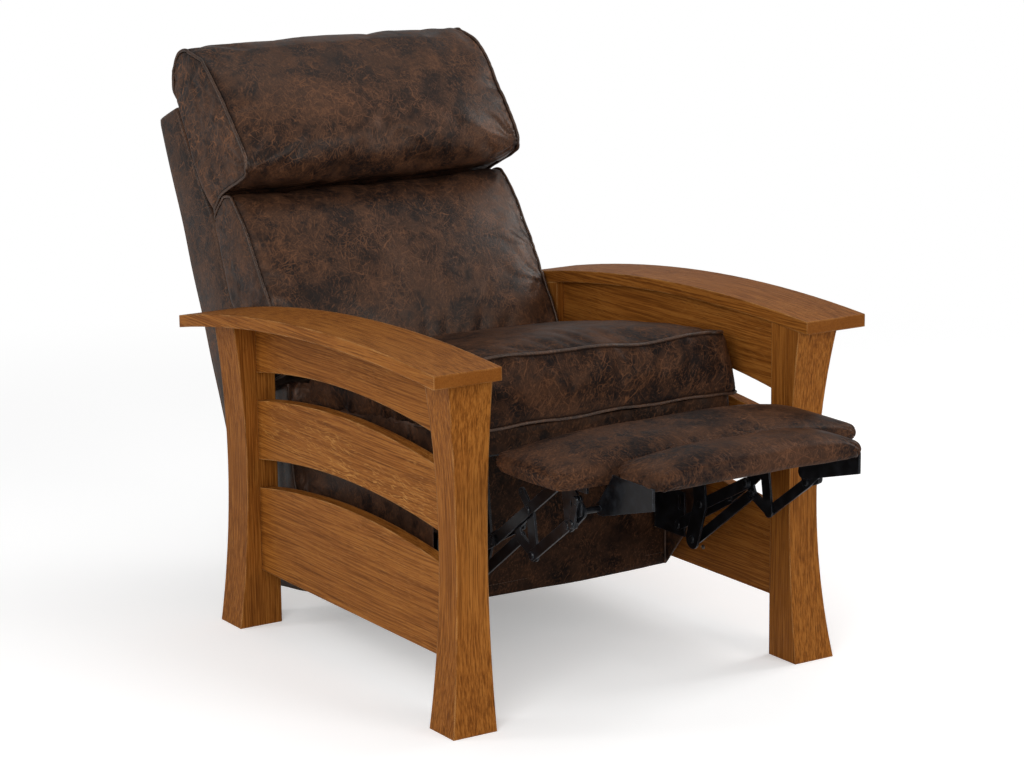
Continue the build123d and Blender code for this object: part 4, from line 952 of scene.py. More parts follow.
class ReclinerColours(bpy.types.PropertyGroup):
    """Colours of the finishes."""

    oak_light: colour_property("Oak light", "Lightest grain of the oak", (0.365, 0.140, 0.026, 1))
    oak_mid: colour_property("Oak mid", "Body colour of the oak", (0.238, 0.077, 0.0118, 1))
    oak_dark: colour_property("Oak dark", "Darkest grain of the oak", (0.095, 0.027, 0.0042, 1))
    leather_brown: colour_property("Leather brown", "Body colour of the leather", (0.055, 0.0258, 0.0148, 1))
    leather_charcoal: colour_property("Leather charcoal", "Dark mottling", (0.0118, 0.0078, 0.0072, 1))
    leather_rust: colour_property("Leather rust", "Veins and rubbed places", (0.200, 0.084, 0.038, 1))
    steel_black: colour_property("Steel black", "Lacquer of the mechanism", (0.004, 0.004, 0.005, 1))
    # The plates' bright bluish edges are a painted glint, partly worn metal.
    steel_edge_glint: colour_property("Steel edge", "Bright edges of the plates", (0.22, 0.26, 0.32, 1))
    steel_bright: colour_property("Steel bright", "Zinc-plated screws", (0.55, 0.54, 0.50, 1))
    inner_wood: colour_property("Inner wood", "Hidden frame", (0.42, 0.27, 0.14, 1))
    webbing: colour_property("Webbing", "Elastic straps", (0.035, 0.030, 0.028, 1))
    deck: colour_property("Deck cloth", "Cloth over the deck", (0.040, 0.026, 0.019, 1))
    floor: colour_property("Floor", "Studio floor", (0.86, 0.86, 0.86, 1))


MATERIALS = {}


def finish(name):
    """One of the chair's materials, built when it is first wanted."""
    if name in MATERIALS:
        return MATERIALS[name]
    colours = bpy.context.scene.recliner_colours
    makers = {
        "oak_arms": lambda: oak("oak_arms", "Y", colours, 0.2, 1.7),
        "oak_slats": lambda: oak("oak_slats", "Y", colours, 0.9, 4.3),
        "oak_rails": lambda: oak("oak_rails", "Y", colours, 0.22, 2.9),
        "oak_legs": lambda: oak("oak_legs", "Z", colours, 0.08, 7.9),
        "leather_seat": lambda: leather("leather_seat", colours, 1.0, 0.3, 0.0, 0.78, 0.06),
        "leather_back": lambda: leather("leather_back", colours, 1.0, 2.1, 0.0, 0.95, 0.24),
        "leather_head": lambda: leather("leather_head", colours, 1.15, 5.2, 0.0, 0.93, 0.22),
        "leather_shell": lambda: leather("leather_shell", colours, 0.9, 6.7, 0.0, 0.86, 0.3),
        "leather_pads": lambda: leather("leather_pads", colours, 0.8, 8.4, 0.0, 0.88, 0.06),
        "leather_panels": lambda: leather("leather_panels", colours, 0.7, 11.0, 0.0, 0.85, 0.32),
        # The skirt and the front border sit under the footrest: their leather is darkened to 0.43, painted
        # shade.
        "leather_skirt": lambda: leather("leather_skirt", colours, 0.3, 17.0, 0.0, 0.43, 0.06),
        "leather_welt": lambda: leather("leather_welt", colours, 0.5, 13.0, 0.10, 0.66, 0.5),
        "black_steel": lambda: plate_steel(
            "black_steel", colours.steel_black, colours.steel_edge_glint, 0.34, 0.25),
        "bright_steel": lambda: plate_steel(
            "bright_steel", colours.steel_bright, (0.8, 0.8, 0.78, 1), 0.28, 1.0),
        "inner_wood": lambda: inner_wood("inner_wood", colours.inner_wood, (0.26, 0.15, 0.07, 1)),
        "webbing": lambda: woven("webbing", colours.webbing, (0.01, 0.009, 0.009, 1), 1500.0),
        "deck_cloth": lambda: woven("deck_cloth", colours.deck, (0.008, 0.007, 0.007, 1), 2600.0),
    }
    MATERIALS[name] = makers[name]()
    return MATERIALS[name]


def paint_nodes(names, material):
    """Gives CAD nodes a better material."""
    for name in names:
        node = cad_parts[name]
        node.data.materials.clear()
        node.data.materials.append(material)


def both_sides(*names):
    """Node names with their left and right endings."""
    return [f"{name}_{side}" for name in names for side in ("left", "right")]


# Operators

class RECLINER_OT_oak_frame(bpy.types.Operator):
    """Oak on the arms, legs, slats, rails and spacer blocks"""

    bl_idname = "recliner.oak_frame"
    bl_label = "Oak frame"

    def execute(self, context):
        paint_nodes(both_sides("arm_board"), finish("oak_arms"))
        paint_nodes(both_sides("middle_slat"), finish("oak_slats"))
        paint_nodes([*both_sides("top_slat", "bottom_rail"), "spacer_blocks"], finish("oak_rails"))
        paint_nodes(both_sides("front_leg", "rear_leg"), finish("oak_legs"))
        return {"FINISHED"}


class RECLINER_OT_mechanism(bpy.types.Operator):
    """Black lacquered steel on the links, plates and hinges"""

    bl_idname = "recliner.mechanism"
    bl_label = "Mechanism"

    def execute(self, context):
        links = both_sides(
            "rear_link", "long_link", "bell_crank", "drive_link", "guide_link", "front_link", "tuck_link")
        plates = ["side_plates", "hanger_plates", "pad_brackets", "tuck_arms", "cross_tube", "back_hinges"]
        paint_nodes(links + plates, finish("black_steel"))
        paint_nodes(["rail_screws", "frame_bolts", "back_hinge_pins"], finish("bright_steel"))
        return {"FINISHED"}


class RECLINER_OT_inner_frame(bpy.types.Operator):
    """Sawn hardwood of the seat box, the back's frame and the pads' boards"""

    bl_idname = "recliner.inner_frame"
    bl_label = "Inner frame"

    def execute(self, context):
        names = [*both_sides("side_board"), "front_rail", "cross_rail", "rear_rail", "lower_back_board",
                 "main_board", "front_board", "back_stiles", "back_top_rail", "back_bottom_rail"]
        paint_nodes(names, finish("inner_wood"))
        return {"FINISHED"}


def rounded_plan(x, y, half_x, half_y, radius):
    """A point of a rectangle, drawn in where the rectangle's corner is rounded."""
    over_x, over_y = abs(x) - (half_x - radius), abs(y) - (half_y - radius)
    if over_x <= 0 or over_y <= 0:
        return x, y
    length = math.hypot(over_x, over_y)
    shrink = max(over_x, over_y) / length if length else 1
    new_x = math.copysign(half_x - radius + over_x * shrink, x)
    new_y = math.copysign(half_y - radius + over_y * shrink, y)
    return new_x, new_y


class RECLINER_OT_seat_cushion(bpy.types.Operator):
    """Boxed seat cushion with a welted top and bottom seam"""

    bl_idname = "recliner.seat_cushion"
    bl_label = "Seat cushion"

    def execute(self, context):
        sizes = context.scene.recliner_sizes
        front, rear = 0.148, 0.653
        front_thick, rear_thick = 0.110, 0.072
        lean_back, nose, side_nose = 0.016, 0.010, 0.005
        side_room, deck_gap, plan_corner, waist = 0.004, 0.001, 0.024, 0.006
        bow_depth, bow_start, corner_flare = 0.005, 0.003, 0.012
        sag_depth, left_rise, top_wave, low_wave = 0.004, 0.009, 0.0025, 0.002
        cord_rise = 0.0012
        middle, half_deep = (front + rear) / 2, (rear - front) / 2
        half = SEAT_HALF - side_room

        def place(u, v, w):
            y_box = rear - (rear - front) * v
            x, y = rounded_plan(half * u, y_box - middle, half, half_deep, plan_corner)
            pull = waist * (1 - (2 * v - 1) ** 2) * abs(u) ** 6
            x -= math.copysign(pull, u)
            bow = bow_depth * (1 - u * u)
            edge_v = (2 * v - 1) ** 7
            y += middle
            y -= edge_v * (bow - bow_start)
            side = w * (1 - w) * 4
            reach = max(abs(u), abs(2 * v - 1)) ** 14
            x += math.copysign(side_nose * side * abs(u) ** 10, u)
            y -= nose * side * edge_v if v > 0.5 else 0.5 * nose * side * edge_v
            y -= edge_v * lean_back * (-w)
            flare = corner_flare * (1 - w) ** 3 * (abs(u) ** 8) * (max(2 * v - 1, 0) ** 8)
            x += math.copysign(flare, u)
            y -= flare
            along = (y - front) / (rear - front)
            thick = front_thick + (rear_thick - front_thick) * min(max(along, 0), 1)
            crown = sizes.seat_crown * (1 - abs(u) ** 3.2) * (1 - abs(2 * v - 1) ** 3.4)
            sag = sag_depth * (1 - reach)
            thick += left_rise * ease((0.35 - u) / 0.7) * ease((1 + u) / 0.25) * max(2 * v - 1, 0)
            z = deck(y) + deck_gap + w * (thick + crown) + (sag if w == 0 else 0)
            if w > 0:
                z += top_wave * w * math.sin(9.0 * u + 1.3) * max(2 * v - 1, 0) ** 6
            else:
                z += low_wave * math.sin(11.0 * u + 0.4) * max(2 * v - 1, 0) ** 6
            return np.array((x, y + FRONT_Y, z))

        box = Lattice("seat_cushion_leather", (76, 66, 14), place)
        across, deep, high = box.counts
        held = []
        for i, j, k in box.keys:
            rim = i in (0, across) or j in (0, deep)
            seam = rim and k in (0, high)
            bottom = k == 0
            held.append(1.0 if seam else 0.9 if bottom else 0.10 if rim else 0.02)
        swell(box.piece, held, 3.2, 0.012, 0.012)
        loops = [box.level_rim(0), box.level_rim(high)]
        refine(box.piece)
        paths = [coordinates(box.piece.data)[loop] for loop in loops]
        gather(box.piece, paths, 21, depth=0.0011, reach=0.020, pitch=0.027)
        soften(box.piece, 22, 0.0009, 0.17)
        soften(box.piece, 23, 0.0004, 0.06)
        for side in (-1, 1):
            corner = (side * (half - 0.006), front + 0.016 + FRONT_Y, deck(front) + front_thick)
            fan(box.piece, corner, (-side, 0, 0), (0, 0, -1), 3.0, 0.045, 0.0014, (5, 88), 31)
            low = (side * (half + 0.004), front + FRONT_Y, deck(front))
            fan(box.piece, low, (-side, 0, 0), (0, 0, 1), 3.0, 0.05, 0.0018, (5, 80), 33)
            fan(box.piece, corner, (-side, 0, 0), (0, 1, 0), 3.0, 0.05, 0.0012, (5, 85), 35)
        shade_smooth(box.piece)
        dress(box.piece, "base", "padded_leather", finish("leather_seat"))
        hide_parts("seat_cushion")
        lines = [(raised(box.piece, loop, cord_rise), True) for loop in loops]
        welt("seat_cushion_welts", lines, sizes.welt_radius, finish("leather_welt"), "base", "padded_leather")
        return {"FINISHED"}


def end_limit(up, forward, half):
    """Half a pillow's width: it narrows to go in between the shell's sides."""
    front_start, front_run, top_start, top_run = 0.003, 0.028, 0.012, 0.04
    out = ease((forward - shell_front(up) + front_start) / front_run)
    out = max(out, ease((up - SHELL_TOP + top_start) / top_run))
    narrow = SHELL_HALF - SHELL_ROOM
    return narrow + (half - narrow) * out


def tuck_in(piece, half):
    """Keeps a filled pillow's ends between the shell's sides."""
    points = coordinates(piece.data)
    off = points - on_back(0, 0, 0)
    for point, up, forward in zip(points, off @ UP_WAY, off @ OUT_WAY):
        limit = end_limit(up, forward, half + FILLING_ROOM)
        point[0] = max(-limit, min(limit, point[0]))
    set_coordinates(piece.data, points)


def pillow_lattice(name, half, edges, counts, crown, seed_wave, end_bulge):
    """A pillow across the back from its end outline's four edges."""
    _, deep, high = counts
    bottom, front, top, rear = (
        smooth_line(edges["bottom"], deep), smooth_line(edges["front"], high),
        smooth_line(edges["top"], deep), smooth_line(edges["rear"], high))
    grid = {}
    for j in range(deep + 1):
        for k in range(high + 1):
            s, t = j / deep, k / high
            blend = (1 - t) * bottom[j] + t * top[j] + (1 - s) * rear[k] + s * front[k]
            corners = ((1 - s) * (1 - t) * bottom[0] + s * (1 - t) * bottom[-1]
                       + (1 - s) * t * top[0] + s * t * top[-1])
            grid[j, k] = blend - corners
    middle = np.mean([bottom.mean(0), front.mean(0), top.mean(0), rear.mean(0)], axis=0)

    def place(u, v, w):
        j, k = round(v * deep), round(w * high)
        up, forward = grid[j, k]
        out_up, out_forward = crown(u, v, w)
        depth = 16 * v * (1 - v) * w * (1 - w)
        x = half * u
        if abs(u) == 1:
            x += math.copysign(end_bulge * depth ** 0.6, u)
        pinch = PILLOW_PINCH * abs(u) ** 8
        up -= pinch * np.sign(up - middle[0])
        forward -= pinch * np.sign(forward - middle[1])
        limit = end_limit(up, forward, half)
        x *= 1 - (1 - limit / half) * abs(u) ** 6
        wander = PILLOW_WANDER * math.sin(7 * w + 3 * v + seed_wave) * abs(u) ** 6
        return on_back(x + math.copysign(wander, u), up + out_up, forward + out_forward)

    return Lattice(name, counts, place)


class RECLINER_OT_lumbar_pillow(bpy.types.Operator):
    """Lumbar pillow with boxed ends"""

    bl_idname = "recliner.lumbar_pillow"
    bl_label = "Lumbar pillow"

    def execute(self, context):
        sizes = context.scene.recliner_sizes
        edges = {
            "bottom": [(0.096, 0.112), (0.096, 0.304)],
            "front": [(0.096, 0.304), (0.160, 0.299), (0.208, 0.290), (0.269, 0.280), (0.332, 0.267),
                      (0.378, 0.258), (0.419, 0.241), (0.445, 0.229)],
            "top": [(0.395, 0.106), (0.424, 0.130), (0.438, 0.154), (0.453, 0.188), (0.455, 0.214),
                    (0.445, 0.229)],
            "rear": [(0.096, 0.112), (0.240, 0.110), (0.395, 0.106)],
        }

        fullness, end_bulge, top_rise = 0.008, 0.004, 0.004
        pleat_root, pleat_forward = 0.006, 0.29

        def crown(u, v, w):
            full = (1 - abs(u) ** 2.6)
            belly = sizes.lumbar_crown * full * math.sin(math.pi * min(max(w * 0.92 + 0.05, 0), 1)) * v ** 3
            return top_rise * full * w ** 6 * (1 - v), belly

        half = LUMBAR_HALF + fullness
        cord_rise, cord_share = 0.0026, 0.85
        box = pillow_lattice("lumbar_pillow_leather", half, edges, (72, 20, 44), crown, 0.7, end_bulge)
        across, deep, high = box.counts
        held = []
        for i, j, k in box.keys:
            end = i in (0, across)
            seam = end and (j in (0, deep) or k in (0, high))
            rests = j == 0 or k == 0
            held.append(1.0 if seam or rests else 0.25 if end else 0.03)
        swell(box.piece, held, 3.0, 0.016, 0.012)
        loops = [box.end_rim(0), box.end_rim(across)]
        refine(box.piece)
        paths = [coordinates(box.piece.data)[loop] for loop in loops]
        gather(box.piece, paths, 41, depth=0.0007, reach=0.028, pitch=0.031)
        soften(box.piece, 42, 0.0011, 0.15)
        for side in (-1, 1):
            top = on_back(side * half, *edges["front"][-1])
            fan(box.piece, top, (-side, 0, 0), -UP_WAY, 3.2, 0.055, 0.0014, (8, 84), 51)
        for up, reach, depth, turns in ((0.27, 0.085, 0.0017, 2.4), (0.20, 0.10, 0.0018, 2.2)):
            spot = on_back(half + pleat_root, up, pleat_forward)
            fan(box.piece, spot, (-1, 0, 0), UP_WAY, turns, reach, depth, (12, 78), int(up * 1000))
        tuck_in(box.piece, half)
        shade_smooth(box.piece)
        dress(box.piece, "back", "padded_leather", finish("leather_back"))
        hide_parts("lumbar_pillow")
        lines = [(raised(box.piece, loop, cord_rise), True) for loop in loops]
        welt("lumbar_pillow_welts", lines, sizes.welt_radius * cord_share, finish("leather_welt"), "back",
             "padded_leather")
        return {"FINISHED"}


class RECLINER_OT_head_pillow(bpy.types.Operator):
    """Rolled head pillow with D-shaped ends"""

    bl_idname = "recliner.head_pillow"
    bl_label = "Head pillow"

    def execute(self, context):
        sizes = context.scene.recliner_sizes
        edges = {
            "bottom": [(0.396, 0.100), (0.426, 0.131), (0.441, 0.153), (0.456, 0.188), (0.457, 0.231),
                       (0.457, 0.266), (0.461, 0.300)],
            "front": [(0.461, 0.300), (0.470, 0.3115), (0.491, 0.315), (0.531, 0.303), (0.573, 0.289),
                      (0.627, 0.269), (0.673, 0.247), (0.703, 0.227)],
            "top": [(0.719, 0.100), (0.743, 0.133), (0.745, 0.158), (0.735, 0.184), (0.703, 0.227)],
            "rear": [(0.396, 0.100), (0.480, 0.090), (0.547, 0.082), (0.600, 0.0765),
                     (0.655, 0.078), (0.690, 0.088), (0.719, 0.100)],
        }

        def crown(u, v, w):
            full = 1 - abs(u) ** 2.8
            forward = sizes.head_crown * full * v ** 3 * (0.55 + 0.6 * math.sin(math.pi * min(w * 1.1, 1)))
            return sizes.head_crown * 0.6 * full * w ** 5, forward

        fullness, end_bulge = 0.005, 0.006
        half = HEAD_HALF + fullness
        box = pillow_lattice("head_pillow_leather", half, edges, (74, 24, 38), crown, 2.2, end_bulge)
        across, deep, high = box.counts
        held = []
        for i, j, k in box.keys:
            end = i in (0, across)
            seam = end and (j in (0, deep) or k in (0, high))
            rests = (j == 0 and k < 0.75 * high) or (k == 0 and j < 0.6 * deep)
            held.append(1.0 if seam or rests else 0.2 if end else 0.03)
        swell(box.piece, held, 3.0, 0.012, 0.012)
        points = coordinates(box.piece.data)
        height = (points - on_back(0, 0, 0)) @ UP_WAY
        slump_x, slump_run, slump_up, slump_height = 0.20, 0.08, 0.56, 0.14
        outwards, upwards = 0.009, 0.004
        reach = ease((points[:, 0] - slump_x) / slump_run) * ease((height - slump_up) / slump_height)
        points[:, 0] += outwards * reach
        points[:, 2] += upwards * reach
        set_coordinates(box.piece.data, points)
        loops = [box.end_rim(0), box.end_rim(across)]
        refine(box.piece)
        paths = [coordinates(box.piece.data)[loop] for loop in loops]
        gather(box.piece, paths, 61, depth=0.0007, reach=0.022, pitch=0.025)
        soften(box.piece, 62, 0.0012, 0.14)
        mark = box.piece.data.attributes.new("end", "FLOAT", "POINT")
        end_depth, end_fade = 0.008, 0.006
        mark.data.foreach_set("value", [float(ease((abs(x) - half + end_depth) / end_fade))
                                        for x in coordinates(box.piece.data)[:, 0]])
        pleat = sizes.pleat_depth
        nose_place, chin_place = (0.470, 0.311), (0.462, 0.318)
        for side in (-1, 1):
            nose = on_back(side * half, *nose_place)
            front_reach, front_depth = (0.050, pleat) if side > 0 else (0.040, 0.8 * pleat)
            steep = UP_WAY - 0.25 * OUT_WAY
            fan(box.piece, nose, (-side, 0, 0), steep, 4.2, front_reach, front_depth, (12, 80), 71)
            fan(box.piece, nose, (-side, 0, 0), -0.35 * UP_WAY - OUT_WAY, 3.6, 0.05, 0.7 * pleat, (5, 86), 73)
            fan(box.piece, nose, -OUT_WAY, UP_WAY, 4.4, 0.065, 0.6 * pleat, (-10, 75), 75)
        for x, reach in ((-0.06, 0.03), (-0.02, 0.035), (0.05, 0.03), (0.13, 0.028)):
            spot = on_back(x, *chin_place)
            fan(box.piece, spot, (1, 0, 0), UP_WAY, 2.0, reach, 0.0014, (55, 125), int(1000 + 1000 * x))
        tuck_in(box.piece, half)
        shade_smooth(box.piece)
        dress(box.piece, "back", "padded_leather", finish("leather_head"))
        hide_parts("head_pillow")
        cord_rise = 0.0030
        lines = [(raised(box.piece, loop, cord_rise), True) for loop in loops]
        welt("head_pillow_welts", lines, sizes.welt_radius, finish("leather_welt"), "back", "padded_leather")
        return {"FINISHED"}


def pad_lattice(name, low, high, counts, radius_x, radius_y, wall, thick, crown, corner, drop):
    """A footrest pad: leather drawn over foam and the board's edges."""
    half_x, half_y = (high.x - low.x) / 2, (high.y - low.y) / 2
    middle_y = (high.y + low.y) / 2
    top_inset, side_inset = 0.003, 0.008

    def place(u, v, w):
        x, y = rounded_plan(half_x * u, -half_y * (2 * v - 1), half_x, half_y, corner)
        to_side, to_end = half_y - abs(y), half_x - abs(x)
        near_x = min(max(to_end / radius_x, 0), 1)
        near_y = min(max(to_side / radius_y, 0), 1)
        dome = (1 - (1 - near_x) ** 2.4) ** 0.72 * (1 - (1 - near_y) ** 2) ** 0.5
        rise = wall + (thick - wall) * dome + crown * (1 - u * u) * (1 - (2 * v - 1) ** 2)
        rim = max(abs(u), abs(2 * v - 1))
        if w == 1:
            z = low.z + rise
            inset = top_inset * rim ** 30
        else:
            z = low.z - drop * rim ** 10 * (1 - w) + w * wall
            inset = side_inset * (1 - math.sin(math.pi * (0.12 + 0.60 * w))) * rim
        return np.array((x - math.copysign(inset, x) * abs(u) ** 12,
                         middle_y + y - math.copysign(inset, y) * abs(2 * v - 1) ** 12, z))

    return Lattice(name, counts, place)


class RECLINER_OT_footrest_pads(bpy.types.Operator):
    """Main and front footrest pads"""

    bl_idname = "recliner.footrest_pads"
    bl_label = "Footrest pads"

    def execute(self, context):
        sizes = context.scene.recliner_sizes
        corner_radius, edge_room, tip_out, tip_drop = 0.030, 0.020, 0.018, 0.010
        for name, node, bounds, body, counts, radii, wall, thick, wide, drop in (
            ("main_pad_leather", "main_pad", MAIN_PAD_BOX, "footrest",
             (80, 34, 8), (0.20, 0.070), 0.011, 0.040, 0.011, 0.012),
            ("front_pad_leather", "front_pad", FRONT_PAD_BOX, "flipper",
             (64, 24, 8), (0.13, 0.052), 0.014, 0.036, 0.0, 0.004),
        ):
            low, high = bounds
            low, high = low - Vector((wide, 0, 0)), high + Vector((wide, 0, 0))
            box = pad_lattice(
                name, low, high, counts, *radii, wall, thick, sizes.pad_crown, corner_radius, drop)
            across, deep, tall = box.counts
            held = []
            for i, j, k in box.keys:
                rim = i in (0, across) or j in (0, deep)
                held.append(1.0 if k == 0 else 0.25 if rim and k < tall / 2 else 0.04)
            swell(box.piece, held, 1.2, 0.0, 0.003)
            refine(box.piece)
            soften(box.piece, 81, 0.0007, 0.13)
            pleat = sizes.pleat_depth
            for side in (-1, 1):
                for ahead in (-1, 1):
                    corner = np.array((
                        (high.x - edge_room) * side, low.y + edge_room if ahead < 0 else high.y - edge_room,
                        low.z + wall * 0.5))
                    out = np.array((side, ahead, 0)) / math.sqrt(2)
                    across_way = np.array((-side * ahead, 1, 0)) / math.sqrt(2)
                    tip = corner + out * tip_out - np.array((0, 0, tip_drop))
                    fan(box.piece, tip, across_way, (0, 0, 1) - 0.4 * out, 7.0, 0.036, 0.75 * pleat,
                        (15, 165), 90 + side + 3 * ahead)
            shade_smooth(box.piece)
            dress(box.piece, body, "padded_leather", finish("leather_pads"))
            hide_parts(node)
        return {"FINISHED"}


class RECLINER_OT_front_border(bpy.types.Operator):
    """Padded leather border under the seat cushion's front"""

    bl_idname = "recliner.front_border"
    bl_label = "Front border"

    def execute(self, context):
        low, high = BORDER_BOX
        roll, roll_start, ripple_depth, end_inset = 0.006, 0.001, 0.0015, 0.002

        def place(u, v, w):
            x = low.x + (high.x - low.x) * (u + 1) / 2
            side = math.sin(math.pi * (0.10 + 0.8 * w))
            y = high.y - (high.y - low.y) * v
            if v == 1:
                y = low.y + roll * (1 - side) - roll_start
            z = low.z + (high.z - low.z) * w
            z += ripple_depth * math.sin(13 * u + 1) * (1 - w) * v
            if abs(u) == 1:
                y += end_inset * v
            return np.array((x, y, z))

        box = Lattice("front_border_leather", (60, 4, 10), place)
        held = [1.0 if j == 0 or k in (0, box.counts[2]) else 0.1 for _, j, k in box.keys]
        swell(box.piece, held, 1.5, 0.006, 0.003)
        refine(box.piece)
        soften(box.piece, 101, 0.0008, 0.09)
        shade_smooth(box.piece)
        # The border's leather is darkened as painted shade under the footrest.
        dress(box.piece, "base", "leather", finish("leather_skirt"))
        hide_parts("front_border")
        return {"FINISHED"}


def drop_loose_points(work):
    """Deletes the points that no face uses."""
    bmesh.ops.delete(work, geom=[point for point in work.verts if not point.link_faces], context="VERTS")


def leather_sheet(name, columns, rows, place, thickness, skip=lambda a, b: False):
    """A closed thin sheet of leather on a grid of columns and rows."""
    points, faces = [], []
    count = len(rows)
    for a in columns:
        for b in rows:
            points.append(place(a, b))
    for a in range(len(columns) - 1):
        for b in range(count - 1):
            middle = ((columns[a] + columns[a + 1]) / 2, (rows[b] + rows[b + 1]) / 2)
            if not skip(*middle):
                start = a * count + b
                faces.append((start, start + count, start + count + 1, start + 1))
    piece = new_piece(name, points, faces)
    rework(piece, drop_loose_points)
    give_wall(piece, thickness)
    face_outwards(piece)
    shade_smooth(piece)
    return piece


def steps(low, high, pitch, stops=()):
    """Grid lines between two values about a pitch apart, with lines at the stops."""
    marks = sorted({low, high, *[s for s in stops if low < s < high]})
    lines = []
    for start, end in zip(marks, marks[1:]):
        count = max(1, round((end - start) / pitch))
        lines += [start + (end - start) * n / count for n in range(count)]
    return lines + [high]


class RECLINER_OT_skirt(bpy.types.Operator):
    """Leather panel over the front of the seat box, with its slits for the plates"""

    bl_idname = "recliner.skirt"
    bl_label = "Skirt"

    def execute(self, context):
        sizes = context.scene.recliner_sizes
        low, high = SKIRT_BOX
        slit_x, slit_z = (0.244, 0.252), (0.178, 0.262)
        free_half, fold_depth, crease_depth, ripple_depth = 0.236, 0.0022, 0.0030, 0.0012
        hem_depth, hem_middle, hem_half, hem_drop = 0.0015, 0.012, 0.006, 0.0015
        front = low.y

        def place(x, z):
            share = (z - low.z) / (high.z - low.z)
            inner = max(0, 1 - (abs(x) / free_half) ** 6)
            relief = fold_depth * math.sin(3 * math.pi * share + 0.8 * math.sin(5 * x)) * inner
            crease = math.exp(-((share - 0.72) / 0.05) ** 2)
            relief += crease_depth * crease * inner * (0.6 + 0.4 * math.sin(9 * x))
            relief += ripple_depth * math.sin(31 * x + 6 * share) * (1 - share) ** 2 * inner
            hem = hem_depth * math.exp(-(((z - low.z) - hem_middle) / hem_half) ** 2)
            drop = hem_drop * math.sin(15 * x) * (1 - share) ** 12
            return np.array((x, front - abs(relief) - hem, z - drop))

        columns = steps(low.x, high.x, 0.0085, [s * v for s in (-1, 1) for v in slit_x])
        rows = steps(low.z, high.z, 0.0075, slit_z)
        piece = leather_sheet(
            "skirt_leather", columns, rows, place, LEATHER_THICK,
            lambda x, z: slit_x[0] < abs(x) < slit_x[1] and slit_z[0] < z < slit_z[1])
        # The skirt's leather is darkened as painted shade under the footrest.
        dress(piece, "base", "leather", finish("leather_skirt"))
        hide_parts("skirt_panel")
        inset, cord_rise, hem_rise, hem_height = 0.004, 0.0016, 0.0006, 0.022
        left, right = low.x + inset, high.x - inset
        lines = []
        for x in (left, right):
            run = [np.array((x, front - cord_rise, z)) for z in steps(low.z + 0.002, high.z - 0.002, 0.02)]
            lines.append((run, False))
        welt("skirt_welts", lines, sizes.welt_radius * 0.72, finish("leather_welt"), "base", "leather")
        hem_row = [np.array((x, front - hem_rise, low.z + hem_height))
                   for x in steps(left + 0.006, right - 0.006, 0.02)]
        rows = new_piece("skirt_stitches", hem_row, [], [(n, n + 1) for n in range(len(hem_row) - 1)])
        grow(rows, stitch_tree, {
            "Pitch": 0.006, "Stitch length": 0.0044, "Thread radius": 0.00055,
            "Material": finish("leather_welt"),
        })
        dress(rows, "base", "leather", finish("leather_welt"))
        return {"FINISHED"}


